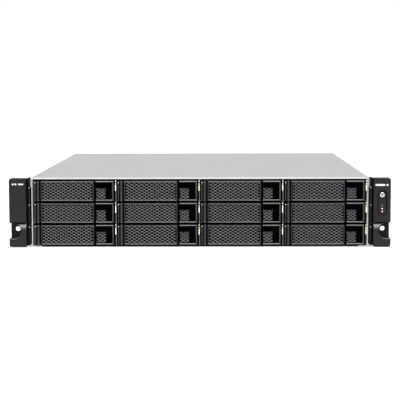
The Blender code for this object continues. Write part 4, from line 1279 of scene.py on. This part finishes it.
def carry_over():
    """The CAD nodes that are shown as they are, each with its finish."""
    looks = {
        "chassis_pan": "zinc",
        # The drive cage takes the darker copy of zinc: painted shade inside the bays.
        "drive_cage": "shaded_zinc",
        "left_ear_bracket": "black_steel",
        "right_ear_bracket": "black_steel",
        "fan_wall": "zinc",
        "cpu_heatsink": "aluminium",
        "psu_cage": "zinc",
    }
    for node, finish in looks.items():
        obj = frame["nodes"][node]
        obj.data.materials.clear()
        obj.data.materials.append(MATERIALS[finish])
        weld = obj.modifiers.new("weld", "WELD")
        weld.merge_threshold = 0.00001
        bevel = obj.modifiers.new("edges", "BEVEL")
        bevel.width = 0.0002
        bevel.segments = 2
        bevel.limit_method = "ANGLE"
        bevel.angle_limit = math.radians(40)


# ---- Stage ----


def add_floor():
    mesh = bpy.data.meshes.new("floor")
    bm = bmesh.new()
    bmesh.ops.create_grid(bm, x_segments=1, y_segments=1, size=FLOOR_SIZE / 2)
    bm.to_mesh(mesh)
    bm.free()
    floor = new_object("floor", mesh)
    floor.location.z = -0.0005
    paint = Finish("pale_floor", (0.8, 0.8, 0.8), 0.8, specular=0.1)
    paint.mottle(paint.noise(3.0), 0.01)
    paint.set("Emission Color", (1, 1, 1, 1))
    seen = paint.node("ShaderNodeLightPath").outputs["Is Camera Ray"]
    paint.feed(paint.spread(seen, 0, 1, 0, FLOOR_LIFT), "Emission Strength")
    mesh.materials.append(paint.material)


def add_light():
    """A light tent: an even glow from the sides, a stronger panel overhead, and a white backdrop."""
    world = bpy.data.worlds.new("studio")
    bpy.context.scene.world = world
    world.use_nodes = True
    tree = world.node_tree
    background = tree.nodes["Background"]
    background.inputs["Color"].default_value = (1, 1, 1, 1)
    facing = tree.nodes.new("ShaderNodeVectorMath")
    facing.operation = "DOT_PRODUCT"
    tree.links.new(tree.nodes.new("ShaderNodeTexCoord").outputs["Generated"], facing.inputs[0])
    tilt = math.radians(PANEL_TILT)
    facing.inputs[1].default_value = (0, -math.sin(tilt), math.cos(tilt))
    panel = tree.nodes.new("ShaderNodeMapRange")
    panel.interpolation_type = "SMOOTHSTEP"
    edges = [math.cos(math.radians(PANEL_HALF_ANGLE + fade)) for fade in (PANEL_FADE, -PANEL_FADE)]
    for key, value in zip(("From Min", "From Max", "To Min", "To Max"), (*edges, SIDE_GLOW, PANEL_GLOW)):
        panel.inputs[key].default_value = value
    tree.links.new(facing.outputs["Value"], panel.inputs["Value"])
    seen = tree.nodes.new("ShaderNodeMix")
    tree.links.new(tree.nodes.new("ShaderNodeLightPath").outputs["Is Camera Ray"], seen.inputs["Factor"])
    tree.links.new(panel.outputs["Result"], seen.inputs["A"])
    seen.inputs["B"].default_value = 1.0
    tree.links.new(seen.outputs["Result"], background.inputs["Strength"])


def add_camera():
    """A long lens, a little above the unit and almost square on to its front."""
    lens = bpy.data.cameras.new("camera")
    lens.sensor_width = 36
    lens.lens = CAMERA_LENS
    lens.clip_start = 0.05
    lens.clip_end = 100
    camera = new_object("camera", lens)
    camera.location = CAMERA_PLACE
    camera.rotation_euler = [math.radians(angle) for angle in CAMERA_TURN]
    bpy.context.scene.camera = camera


add_trays()
add_light_guides()
add_ears()
add_covers()
add_side_hardware()
add_front_strips()
add_back()
add_inside()
carry_over()
add_floor()
add_light()
add_camera()
bpy.context.scene.view_settings.view_transform = "Standard"
